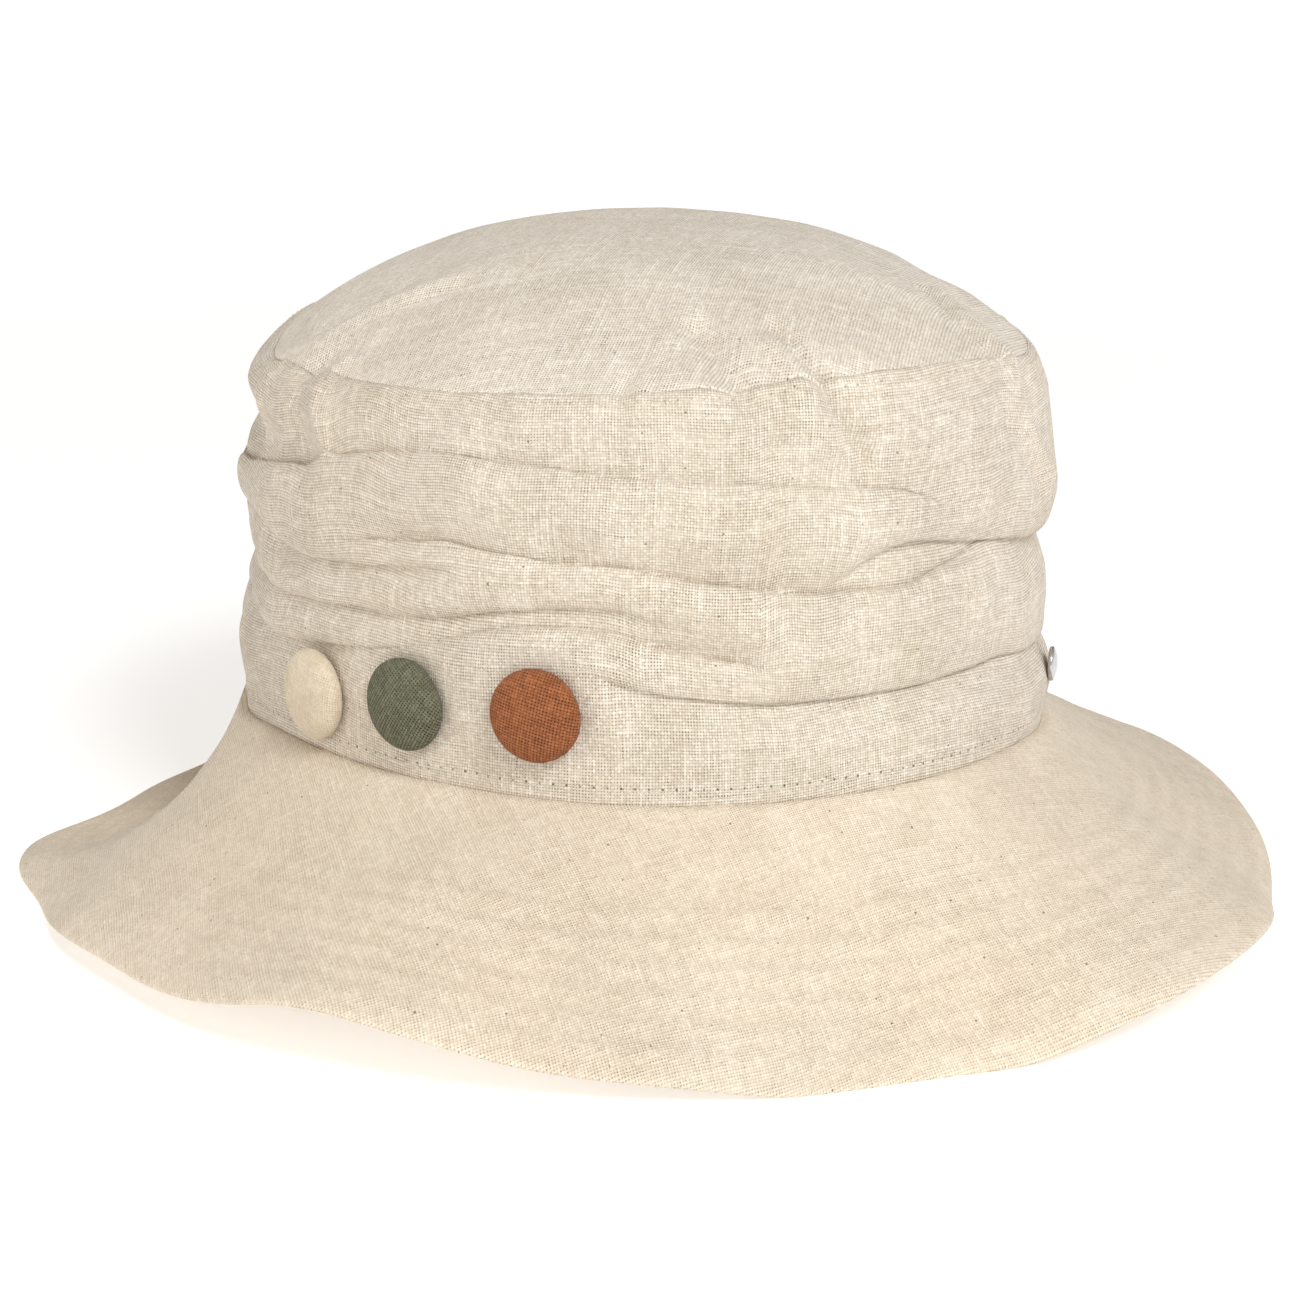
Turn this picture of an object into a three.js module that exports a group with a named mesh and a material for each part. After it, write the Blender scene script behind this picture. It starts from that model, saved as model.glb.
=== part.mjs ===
// Cloth bucket hat: a crown pushed down into soft rolls, a wide stitched brim, three cloth-covered buttons
// and a small metal stud. Millimetres, +Z up, the wearer's front towards -Y, the brim resting on z = 0.
import * as THREE from "three";

// Driving dimensions
const HEAD_LENGTH = 200; // the crown's oval at the brim seam, front to back
const HEAD_WIDTH = 172; // the same oval, side to side
const SEAM_HEIGHT = 40; // brim seam above the ground, at its mean
const SIDE_HEIGHT = 80; // brim seam to tip seam, pushed down as worn
const TIP_RISE = 24; // the tip's dome above its own seam
const TIP_LEAN = 3; // the dome's middle lies this far towards +X
const TIP_FULLNESS = 2.4; // 2 makes the dome a parabola, more fills its shoulders
const TIP_SLOPE = 30; // degrees, the cloth's slope where tip and side meet
const BRIM_WIDTH = 65.5; // brim seam to outer edge, along the cloth
const BRIM_DROP = 43.5; // how far the brim would hang below its seam if the ground let it
const CROWN_CLOTH = 1.6; // crown wall, two layers of open weave
const BRIM_CLOTH = 2; // brim wall, two layers and an interlining
const SEAM_GAP = 0.3; // between neighbouring pieces
const BUTTON_WIDTH = 19;
const BUTTON_HEIGHT = 5.4;
const BUTTON_RIM = 1.6; // height of the button's straight rim
const BUTTON_ROLL = 0.9; // how far the rim's lower edge is rolled under
const STUD_WIDTH = 7.5;
const STUD_HEIGHT = 1.7;
const STUD_BEVEL = 0.5;

// Mesh density
const COLUMNS = 56; // around the hat
const ROLL_STEPS = [0, 0.08, 0.3, 0.7, 0.92]; // shares of a roll's height, from its lower crease
const BRIM_STEPS = [0, 0.2, 0.45, 0.7, 0.93, 1]; // shares of the brim's width
const TIP_STEPS = [1, 0.92, 0.75, 0.5, 0.25]; // shares of the tip's half width, from its seam
const TURNED_SIDES = 32; // sides of a button or stud
const DOME_STEPS = 6; // facets from a button's rim to its middle

// Angles run around the crown in degrees: 0 at the front, 90 at the wearer's left (+X).
const rows = (...lines) => lines.map(([angle, height, depth]) => ({ angle, height, depth }));
const bulges = (...lines) => lines.map(([angle, out]) => ({ angle, out }));

// The brim seam: height above or below its mean. It sags at both sides.
const BRIM_SEAM = rows(
  [-150, -4], [-118, -7], [-92, -2.2], [-65, -0.6], [-30, 0.5], [0, 1.4],
  [25, 0.6], [50, -3.5], [80, -5], [125, -3], [180, 0],
);

// The four creases between the rolls: height above the brim seam's mean and depth into the crown.
const CREASES = [
  rows(
    [-120, 20, 3], [-93, 21, 4], [-66, 27, 4], [-48, 30, 3], [-36, 25, 4],
    [-20, 20.5, 4.5], [10, 20.8, 4.5], [40, 17.6, 4], [100, 21, 3], [170, 19, 3.5],
  ),
  rows(
    [-120, 30, 3], [-90, 30.5, 4], [-66, 35, 4.5], [-48, 38, 4.5], [-34, 36.5, 4],
    [-22, 33, 2.5], [-8, 31, 0.6], [45, 30, 0.6], [100, 33, 3], [165, 31, 3.5],
  ),
  rows(
    [-120, 43, 4], [-94, 40, 5], [-77, 41.5, 5], [-62, 48, 3.5], [-35, 46.5, 4], [-12, 42.5, 5],
    [8, 45.5, 7], [24, 46, 7], [45, 43, 6], [75, 43, 4], [115, 46, 4], [170, 43, 4],
  ),
  rows(
    [-111, 52, 3], [-92, 56, 3.5], [-68, 65, 4], [-50, 66.3, 4], [-24, 64, 4], [-6, 61.5, 3.2],
    [10, 57, 1.8], [45, 57, 0.6], [95, 60, 2.5], [160, 60, 3.5], [215, 56, 3],
  ),
];

// How far each roll stands out past the brim seam's oval, from the lowest to the one under the tip.
const ROLLS = [
  bulges([-120, 0], [0, 0], [120, 0]),
  bulges([-110, 3], [-30, 1.8], [50, 0.6], [150, 1.4]),
  bulges([-110, 0.2], [-30, 1.8], [50, -0.6], [150, 1.2]),
  bulges([-115, 1.2], [-30, 2.2], [50, 0.2], [150, 1.6]),
  bulges([-115, -2], [-30, 0], [50, -0.8], [150, -0.6]),
];
const ROLL_ROUNDNESS = 0.5; // 0.5 makes a roll's section half an ellipse

// The tip seam: height above or below its mean, and how far it lies inside the brim seam's oval.
const TIP_SEAM = rows(
  [-95, -2.5, 8], [-67, -1.4, 6.5], [-36, 0.5, 5], [-10, 3, 4.6], [14, 3.6, 4.6],
  [48, -1.5, 6], [110, 0, 6], [180, 1, 7], [225, 0, 8.5],
);

// The brim's waves: each lifts the edge at its angle, or pulls it in, and dies away to either side.
const BRIM_WAVES = [
  { angle: -150, spread: 25, lift: 0, pull: 19 },
  { angle: -108, spread: 14, lift: 0, pull: -4 },
  { angle: -80, spread: 21, lift: 12, pull: 0 },
  { angle: -53, spread: 15, lift: 16, pull: 0 },
  { angle: -29, spread: 13, lift: 7, pull: 0 },
  { angle: -8, spread: 12, lift: -3, pull: -1 },
  { angle: 21, spread: 22, lift: 13, pull: 0 },
  { angle: 48, spread: 18, lift: 0, pull: 2 },
  { angle: 85, spread: 30, lift: 15, pull: 1 },
  { angle: 180, spread: 22, lift: 8, pull: 2 },
];
const WAVE_GROWTH = 1.6; // a wave grows from the seam to the edge by this power

// The covered buttons and the stud, on the plain band above the brim seam.
const BUTTONS = [
  { name: "button_cream", angle: -81, height: 11.6, color: 0xe6dcc6 },
  { name: "button_green", angle: -64.5, height: 15.2, color: 0x5e7a68 },
  { name: "button_terracotta", angle: -46.5, height: 17.2, color: 0xc2724a },
];
const STUD = { angle: 43.5, height: 11.5 };

const radians = THREE.MathUtils.degToRad;
const mix = THREE.MathUtils.lerp;

// A table's value at any angle, on a smooth curve that closes on itself around the hat.
function around(table, column, degrees) {
  const count = table.length;
  const value = (i) => table[((i % count) + count) % count][column];
  const angle = (i) => table[((i % count) + count) % count].angle + 360 * Math.floor(i / count);
  const start = table[0].angle;
  const at = start + THREE.MathUtils.euclideanModulo(degrees - start, 360);
  const i = table.findLastIndex((row) => row.angle <= at);
  const slope = (k) => (value(k + 1) - value(k - 1)) / (angle(k + 1) - angle(k - 1));
  const span = angle(i + 1) - angle(i);
  const f = (at - angle(i)) / span;
  const rise = f * f * (3 - 2 * f);
  const leave = f * (1 - f) * (1 - f) * span * slope(i);
  const arrive = f * f * (1 - f) * span * slope(i + 1);
  return mix(value(i), value(i + 1), rise) + leave - arrive;
}

// A point out from the brim seam's oval by a distance, at a height above the ground.
function place(degrees, out, height) {
  const t = radians(degrees);
  const normal = ovalNormal(degrees);
  const x = (HEAD_WIDTH / 2) * Math.sin(t) + out * normal.x;
  const y = -(HEAD_LENGTH / 2) * Math.cos(t) + out * normal.y;
  return new THREE.Vector3(x, y, height);
}

// The oval's outward direction at an angle.
function ovalNormal(degrees) {
  const t = radians(degrees);
  return new THREE.Vector3(Math.sin(t) / HEAD_WIDTH, -Math.cos(t) / HEAD_LENGTH, 0).normalize();
}

const columnAngles = Array.from({ length: COLUMNS }, (_, i) => (360 * i) / COLUMNS);
const seamHeight = (degrees) => SEAM_HEIGHT + around(BRIM_SEAM, "height", degrees);
const tipSeamHeight = (degrees) => SEAM_HEIGHT + SIDE_HEIGHT + around(TIP_SEAM, "height", degrees);

// A closed mesh from rings of points: each ring is joined to the next, and the last to the first.
function closedRings(rings) {
  const positions = rings.flat().flatMap((point) => point.toArray());
  const index = [];
  rings.forEach((ring, r) => {
    const next = ((r + 1) % rings.length) * COLUMNS;
    for (let i = 0; i < COLUMNS; i++) {
      const j = (i + 1) % COLUMNS;
      index.push(r * COLUMNS + i, r * COLUMNS + j, next + j);
      index.push(r * COLUMNS + i, next + j, next + i);
    }
  });
  return indexedGeometry(positions, index);
}

function indexedGeometry(positions, index) {
  const geometry = new THREE.BufferGeometry();
  geometry.setAttribute("position", new THREE.Float32BufferAttribute(positions, 3));
  geometry.setIndex(index);
  geometry.computeVertexNormals();
  return geometry;
}

// The side's outer section at one angle: out and height of each point, from brim seam to tip seam.
function sideSection(degrees) {
  const base = seamHeight(degrees) + SEAM_GAP / 2;
  const slope = radians(TIP_SLOPE);
  const creases = CREASES.map((table) => ({
    out: -around(table, "depth", degrees),
    height: SEAM_HEIGHT + around(table, "height", degrees),
  }));
  const end = {
    out: -around(TIP_SEAM, "depth", degrees) + (SEAM_GAP / 2) * Math.cos(slope),
    height: tipSeamHeight(degrees) - (SEAM_GAP / 2) * Math.sin(slope),
  };
  const stops = [{ out: 0, height: base }, ...creases, end];
  const section = ROLLS.flatMap((table, band) => {
    const bulge = around(table, "out", degrees);
    const [low, high] = [stops[band], stops[band + 1]];
    return ROLL_STEPS.map((share) => {
      const roundness = Math.pow(4 * share * (1 - share), ROLL_ROUNDNESS);
      const out = mix(mix(low.out, high.out, share), bulge, roundness);
      return { out, height: mix(low.height, high.height, share) };
    });
  });
  return [...section, end];
}

// The same section moved inwards by the cloth, square to itself.
function innerSection(section, cloth) {
  return section.map((point, i) => {
    const before = section[Math.max(i - 1, 0)];
    const after = section[Math.min(i + 1, section.length - 1)];
    const along = new THREE.Vector2(after.out - before.out, after.height - before.height).normalize();
    return { out: point.out - cloth * along.y, height: point.height + cloth * along.x };
  });
}

function crownSide() {
  const slope = radians(TIP_SLOPE);
  const sections = columnAngles.map((degrees) => {
    const outer = sideSection(degrees);
    const inner = innerSection(outer, CROWN_CLOTH);
    const [foot, end] = [outer[0], outer.at(-1)];
    inner[0] = { out: foot.out - CROWN_CLOTH, height: foot.height };
    inner[inner.length - 1] = {
      out: end.out - CROWN_CLOTH * Math.sin(slope),
      height: end.height - CROWN_CLOTH * Math.cos(slope),
    };
    return [...outer, ...inner.reverse()];
  });
  return closedRings(ringsOf(sections));
}

// Turns one section for each angle into one ring for each of the section's points.
function ringsOf(sections) {
  return sections[0].map((_, k) =>
    columnAngles.map((degrees, i) => place(degrees, sections[i][k].out, sections[i][k].height)),
  );
}

// The tip: a low dome whose rings shrink from the seam's oval to its middle.
function crownTop() {
  const slope = radians(TIP_SLOPE);
  const meanSeam = SEAM_HEIGHT + SIDE_HEIGHT;
  const inset = (degrees) => around(TIP_SEAM, "depth", degrees) + (SEAM_GAP / 2) * Math.cos(slope);
  const lift = (SEAM_GAP / 2) * Math.sin(slope);
  const domeHeight = (share, degrees) =>
    mix(meanSeam, tipSeamHeight(degrees), share * share) + lift + TIP_RISE * (1 - share ** TIP_FULLNESS);
  const ring = (share, depth) =>
    columnAngles.map((degrees) => {
      const edge = place(degrees, -inset(degrees) - depth * Math.sin(slope) * share ** 4, 0);
      edge.multiplyScalar(share).setX(edge.x + TIP_LEAN * (1 - share));
      const down = depth * mix(1, Math.cos(slope), share ** 4);
      return edge.setZ(domeHeight(share, degrees) - down);
    });
  const outer = TIP_STEPS.map((share) => ring(share, 0));
  const inner = TIP_STEPS.map((share) => ring(share, CROWN_CLOTH));
  const crest = meanSeam + lift + TIP_RISE;
  const middles = [crest, crest - CROWN_CLOTH].map((height) => new THREE.Vector3(TIP_LEAN, 0, height));
  const rings = [...outer.reverse(), ...inner];
  const positions = [...rings.flat(), ...middles].flatMap((point) => point.toArray());
  const [top, bottom] = [rings.length * COLUMNS, rings.length * COLUMNS + 1];
  const index = [];
  for (let r = 0; r + 1 < rings.length; r++) {
    for (let i = 0; i < COLUMNS; i++) {
      const j = (i + 1) % COLUMNS;
      const [a, b] = [r * COLUMNS, (r + 1) * COLUMNS];
      index.push(a + i, b + i, b + j, a + i, b + j, a + j);
    }
  }
  const last = (rings.length - 1) * COLUMNS;
  for (let i = 0; i < COLUMNS; i++) {
    const j = (i + 1) % COLUMNS;
    index.push(top, i, j, bottom, last + j, last + i);
  }
  return indexedGeometry(positions, index);
}

// What the brim's waves do to its edge at an angle: the sum of their lift, or of their pull.
function edgeWave(degrees, effect) {
  return BRIM_WAVES.reduce((total, wave) => {
    const away = THREE.MathUtils.euclideanModulo(degrees - wave.angle + 180, 360) - 180;
    return total + wave[effect] * Math.exp(-((away / wave.spread) ** 2));
  }, 0);
}

// The brim: a sloping section, lifted by the waves and flattened where it rests on the ground.
function brim() {
  const sections = columnAngles.map((degrees) => {
    const seam = seamHeight(degrees) - SEAM_GAP / 2;
    const drop = BRIM_DROP - edgeWave(degrees, "lift");
    const reach = Math.sqrt(BRIM_WIDTH ** 2 - drop ** 2) - edgeWave(degrees, "pull");
    const slope = Math.atan2(drop, reach);
    const upper = BRIM_STEPS.map((share) => {
      const lift = edgeWave(degrees, "lift") * share ** WAVE_GROWTH;
      return { out: reach * share, height: Math.max(seam - BRIM_DROP * share + lift, BRIM_CLOTH) };
    });
    const under = upper.map((point) => ({
      out: point.out - BRIM_CLOTH * Math.sin(slope),
      height: Math.max(point.height - BRIM_CLOTH * Math.cos(slope), 0),
    }));
    under.forEach((point, i) => {
      if (upper[i].height === BRIM_CLOTH) point.height = 0;
    });
    under[0] = { out: -CROWN_CLOTH, height: seam };
    return [...under, ...upper.reverse()];
  });
  return closedRings(ringsOf(sections));
}

// A cloth-covered button: flat back, rolled rim and a low dome, turned about its own axis.
function buttonShape() {
  const radius = BUTTON_WIDTH / 2;
  const dome = BUTTON_HEIGHT - BUTTON_RIM;
  const outline = [
    new THREE.Vector2(0, 0),
    new THREE.Vector2(radius - BUTTON_ROLL, 0),
    new THREE.Vector2(radius, BUTTON_ROLL),
  ];
  for (let i = 0; i <= DOME_STEPS; i++) {
    const turn = (Math.PI / 2) * (i / DOME_STEPS);
    outline.push(new THREE.Vector2(radius * Math.cos(turn), BUTTON_RIM + dome * Math.sin(turn)));
  }
  outline.at(-1).x = 0;
  return new THREE.LatheGeometry(outline, TURNED_SIDES);
}

// The stud: a plain disc with a softened front edge.
function studShape() {
  const radius = STUD_WIDTH / 2;
  const outline = [
    new THREE.Vector2(0, 0),
    new THREE.Vector2(radius, 0),
    new THREE.Vector2(radius, STUD_HEIGHT - STUD_BEVEL),
    new THREE.Vector2(radius - STUD_BEVEL, STUD_HEIGHT),
    new THREE.Vector2(0, STUD_HEIGHT),
  ];
  return new THREE.LatheGeometry(outline, TURNED_SIDES);
}

function cloth(color) {
  return new THREE.MeshStandardMaterial({ color, roughness: 0.95, metalness: 0 });
}

function piece(name, geometry, material) {
  const mesh = new THREE.Mesh(geometry, material);
  mesh.name = name;
  return mesh;
}

// Fixes a turned piece to the band above the brim seam, its own axis pointing out of the crown.
function fixToBand(mesh, spot) {
  mesh.position.copy(place(spot.angle, SEAM_GAP, SEAM_HEIGHT + spot.height));
  mesh.quaternion.setFromUnitVectors(new THREE.Vector3(0, 1, 0), ovalNormal(spot.angle));
  return mesh;
}

const hat = new THREE.Group();
hat.add(piece("crown_top", crownTop(), cloth(0xe4ddd0)));
hat.add(piece("crown_side", crownSide(), cloth(0xe2dacb)));
hat.add(piece("brim", brim(), cloth(0xe6dbc2)));
for (const button of BUTTONS) {
  hat.add(fixToBand(piece(button.name, buttonShape(), cloth(button.color)), button));
}
const steel = new THREE.MeshStandardMaterial({ color: 0xb9bbbd, roughness: 0.3, metalness: 1 });
hat.add(fixToBand(piece("metal_stud", studShape(), steel), STUD));

// The origin is on the ground, under the middle of the hat's outline.
const outline = new THREE.Box3().setFromObject(hat, true);
const middle = outline.getCenter(new THREE.Vector3());
hat.position.set(-middle.x, -middle.y, 0);

export default hat;
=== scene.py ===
# %% [markdown]
# # Cloth bucket hat
# A soft sun hat of unbleached cotton and linen. The crown is pushed down into soft rolls, the brim is wide,
# wavy and stitched in rings, and three covered buttons and a small stud sit just above the brim.
# The CAD model fixes each piece's size and place, and each step below builds one piece's visible cloth.

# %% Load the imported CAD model
import math

import bpy
import numpy as np
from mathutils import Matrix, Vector


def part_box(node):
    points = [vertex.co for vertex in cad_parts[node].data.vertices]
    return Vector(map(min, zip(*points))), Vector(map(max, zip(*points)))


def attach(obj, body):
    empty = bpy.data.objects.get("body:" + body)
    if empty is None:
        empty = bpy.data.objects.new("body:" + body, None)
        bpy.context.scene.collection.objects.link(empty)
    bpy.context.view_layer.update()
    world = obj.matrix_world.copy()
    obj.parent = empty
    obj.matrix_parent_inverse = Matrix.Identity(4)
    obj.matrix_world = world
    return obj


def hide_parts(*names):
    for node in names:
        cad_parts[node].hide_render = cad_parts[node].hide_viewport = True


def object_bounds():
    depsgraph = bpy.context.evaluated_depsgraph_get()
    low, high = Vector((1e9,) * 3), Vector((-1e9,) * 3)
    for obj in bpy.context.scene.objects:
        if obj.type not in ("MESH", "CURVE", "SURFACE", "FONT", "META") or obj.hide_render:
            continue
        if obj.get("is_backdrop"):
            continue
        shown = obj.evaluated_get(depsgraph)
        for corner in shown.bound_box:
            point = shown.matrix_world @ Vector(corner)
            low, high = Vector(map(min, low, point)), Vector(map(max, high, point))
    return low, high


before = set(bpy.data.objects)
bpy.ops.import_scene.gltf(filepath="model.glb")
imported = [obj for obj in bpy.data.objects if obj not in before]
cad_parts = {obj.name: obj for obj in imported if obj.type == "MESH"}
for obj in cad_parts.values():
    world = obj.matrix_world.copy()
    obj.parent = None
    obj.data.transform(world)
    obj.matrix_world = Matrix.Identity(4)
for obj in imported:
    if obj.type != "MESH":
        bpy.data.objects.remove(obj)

cad_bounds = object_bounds()
MM = 0.001
print("CAD nodes:", ", ".join(sorted(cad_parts)))

# %% [markdown]
# ## The hat's sizes
# A hat is cut from flat panels: an oval tip, a long band for the side and a ring for the brim. They are
# drafted from the head's oval, so every size here starts there. Angles run around the crown in degrees:
# 0 at the front, 90 at the wearer's left. Lengths are millimetres until a mesh is made.

# %% Driving sizes
HEAD_LENGTH = 200
HEAD_WIDTH = 172
SEAM_HEIGHT = 40
SIDE_HEIGHT = 80
CLOTH = 1.4
STITCH = 2.8
MM_PER_DEGREE = math.pi * (HEAD_LENGTH + HEAD_WIDTH) / 2 / 360

# Where the head oval's centre is in the frame: the frame is centred under the whole hat, brim included.
AXIS = np.array([-0.52, 2.26, 0])
print(f"the head's oval is {360 * MM_PER_DEGREE:.0f} mm around")

# %% [markdown]
# ## Seams that rise and dip
# On a worn hat no seam is level: the cloth lifts it in one place and drops it in another. A seam could be
# drawn as a curve object, but the panels above and below it both need its height at any angle. So each
# seam is a short table of angles and heights, read on a smooth curve that closes on itself.

# %% A table's value at any angle
def around(table, column, degrees):
    """A table's value at any angle, on a smooth curve that closes on itself around the hat."""
    angles = np.concatenate([table[-2:, 0] - 360, table[:, 0], table[:3, 0] + 360])
    values = np.concatenate([table[-2:, column], table[:, column], table[:3, column]])
    slopes = (values[2:] - values[:-2]) / (angles[2:] - angles[:-2])
    at = table[0, 0] + np.mod(degrees - table[0, 0], 360)
    i = np.searchsorted(angles, at, side="right") - 1
    span = angles[i + 1] - angles[i]
    f = (at - angles[i]) / span
    rise = f * f * (3 - 2 * f)
    leave = f * (1 - f) ** 2 * span * slopes[i - 1]
    arrive = f * f * (1 - f) * span * slopes[i]
    return values[i] + (values[i + 1] - values[i]) * rise + leave - arrive


# %% Points around the head
def oval(degrees, out):
    """Points out from the head's oval by a distance, as x and y."""
    t = np.radians(degrees)
    nx, ny = np.sin(t) / HEAD_WIDTH, -np.cos(t) / HEAD_LENGTH
    long = np.hypot(nx, ny)
    return HEAD_WIDTH / 2 * np.sin(t) + out * nx / long, -HEAD_LENGTH / 2 * np.cos(t) + out * ny / long


# %% The crown's two seams
# Angle, height of the brim seam about SEAM_HEIGHT, and how far it lies below where the brim's fall starts.
BRIM_SEAM = np.array([
    [-150, -4, 0], [-118, -7, 0], [-92, -2.6, 0.4], [-65, -1.6, 1], [-30, -1.2, 1.7], [0, -0.2, 1.6],
    [25, -0.2, 0.8], [50, -3.5, 0], [80, -5, 0], [125, -3, 0], [180, 0, 0],
])

# Angle, height about the tip seam's mean, and how far the seam lies inside the head's oval.
TIP_SEAM = np.array([
    [-95, -4.2, 7.6], [-67, -2.2, 6.3], [-36, 0.5, 5], [-10, 3, 4.6], [14, 3.6, 4.6],
    [48, -1.5, 7], [110, 1.2, 6], [180, 1, 7], [218, -2, 10], [242, -6.8, 8.4],
])


def seam_height(degrees):
    """The brim seam's height above the ground."""
    return SEAM_HEIGHT + around(BRIM_SEAM, 1, degrees)


def tip_seam_height(degrees):
    """The tip seam's height above the ground."""
    return SEAM_HEIGHT + SIDE_HEIGHT + around(TIP_SEAM, 1, degrees)


for seam, heights in (("brim", seam_height(np.arange(360))), ("tip", tip_seam_height(np.arange(360)))):
    print(f"the {seam}'s seam lies {heights.min():.0f} to {heights.max():.0f} mm above the ground")

# %% The join at the back
JOIN_DIP = 0.4
JOIN_WIDTH = 1.1


def joined(degrees):
    """How far the cloth dips along the seam at the back that closes each ring of cloth."""
    from_back = 180 - np.abs(np.mod(degrees + 180, 360) - 180)
    return JOIN_DIP * np.exp(-((from_back / JOIN_WIDTH) ** 2))


# %% [markdown]
# ## Helpers for cloth surfaces
# Each panel is a grid of points that closes around the hat. A sheet with a Solidify modifier would do for
# even cloth, but here the edges are rounded, turned and pressed in different ways. So the same few steps
# serve every panel: find the way that the surface faces, push it out or in, and close it with an inner
# layer, as real hats have two layers.

# %% The way that cloth faces, and a rounded edge
def normals_of(points):
    """Outward directions of a grid [row, column, xyz] whose columns run around the hat."""
    across = np.roll(points, -1, 1) - np.roll(points, 1, 1)
    along = np.gradient(points, axis=0)
    direction = np.cross(across, along)
    return direction / np.maximum(np.linalg.norm(direction, axis=-1, keepdims=True), 1e-9)


def rounded(distance, radius):
    """How far an edge rounded to a radius falls away, at a distance from the edge."""
    x = 1 - np.clip(distance / radius, 0, 1)
    return radius * (1 - np.sqrt(1 - x * x))


# %% A mesh from rows of points
def quad_mesh(name, points, corners, maps, material):
    """A smooth mesh of quads: points in metres, four point numbers a face, and UV maps corner by corner."""
    mesh = bpy.data.meshes.new(name)
    mesh.vertices.add(len(points))
    mesh.vertices.foreach_set("co", points.ravel())
    mesh.loops.add(corners.size)
    mesh.loops.foreach_set("vertex_index", corners.ravel())
    mesh.polygons.add(len(corners))
    mesh.polygons.foreach_set("loop_start", np.arange(0, corners.size, 4))
    mesh.update(calc_edges=True)
    for map_name, uv in maps.items():
        mesh.uv_layers.new(name=map_name).data.foreach_set("uv", uv.reshape(-1))
    mesh.validate()
    mesh.shade_smooth()
    mesh.materials.append(material)
    piece = bpy.data.objects.new(name, mesh)
    bpy.context.scene.collection.objects.link(piece)
    return piece


def ring_mesh(name, rows, maps, material):
    """A mesh from rows of points around the hat, with UV maps given as {name: [row, column + 1, 2]}.
    A map has one column more than the points, so that it doesn't run backwards where the ring closes.
    Where the maps have a row more than the points, the last row of points is joined to the first."""
    count, columns = rows.shape[:2]
    r, c = np.meshgrid(np.arange(len(next(iter(maps.values()))) - 1), np.arange(columns), indexing="ij")
    after = (c + 1) % columns
    below = (r + 1) % count
    corners = np.stack([r * columns + c, r * columns + after,
                        below * columns + after, below * columns + c], -1).reshape(-1, 4)
    at_corners = {}
    for map_name, values in maps.items():
        at_corners[map_name] = np.stack([values[r, c], values[r, c + 1],
                                         values[r + 1, c + 1], values[r + 1, c]], 2)
    return quad_mesh(name, (rows + AXIS).reshape(-1, 3) * MM, corners, at_corners, material)


# %% Put a finished piece in place of its CAD nodes
def add_piece(piece, nodes):
    """Stands for CAD nodes, which it hides, rides on the hat's one body, and prints its triangles, its
    size and how far its middle is off each node's.
    """
    if nodes:
        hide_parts(*nodes)
    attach(piece, "root")
    triangles = sum(len(p.vertices) - 2 for p in piece.data.polygons)
    size = piece.dimensions / MM
    print(f"{piece.name}: {triangles} triangles, {size.x:.0f} x {size.y:.0f} x {size.z:.0f} mm")
    for node in nodes:
        low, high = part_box(node)
        middle = sum((Vector(corner) for corner in piece.bound_box), Vector()) / 8
        off = [round(v, 1) for v in (middle - (low + high) / 2) / MM]
        print("  its middle is off the node's by", off, "mm")


# %% [markdown]
# ## Shader steps
# Cloth looks like cloth because of its threads. A picture of cloth would be quick to wrap on, but it
# repeats, and it blurs when the camera comes close. Nodes can work out every thread instead. The small
# class below adds one node in each call and gives back what that node makes.

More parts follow.
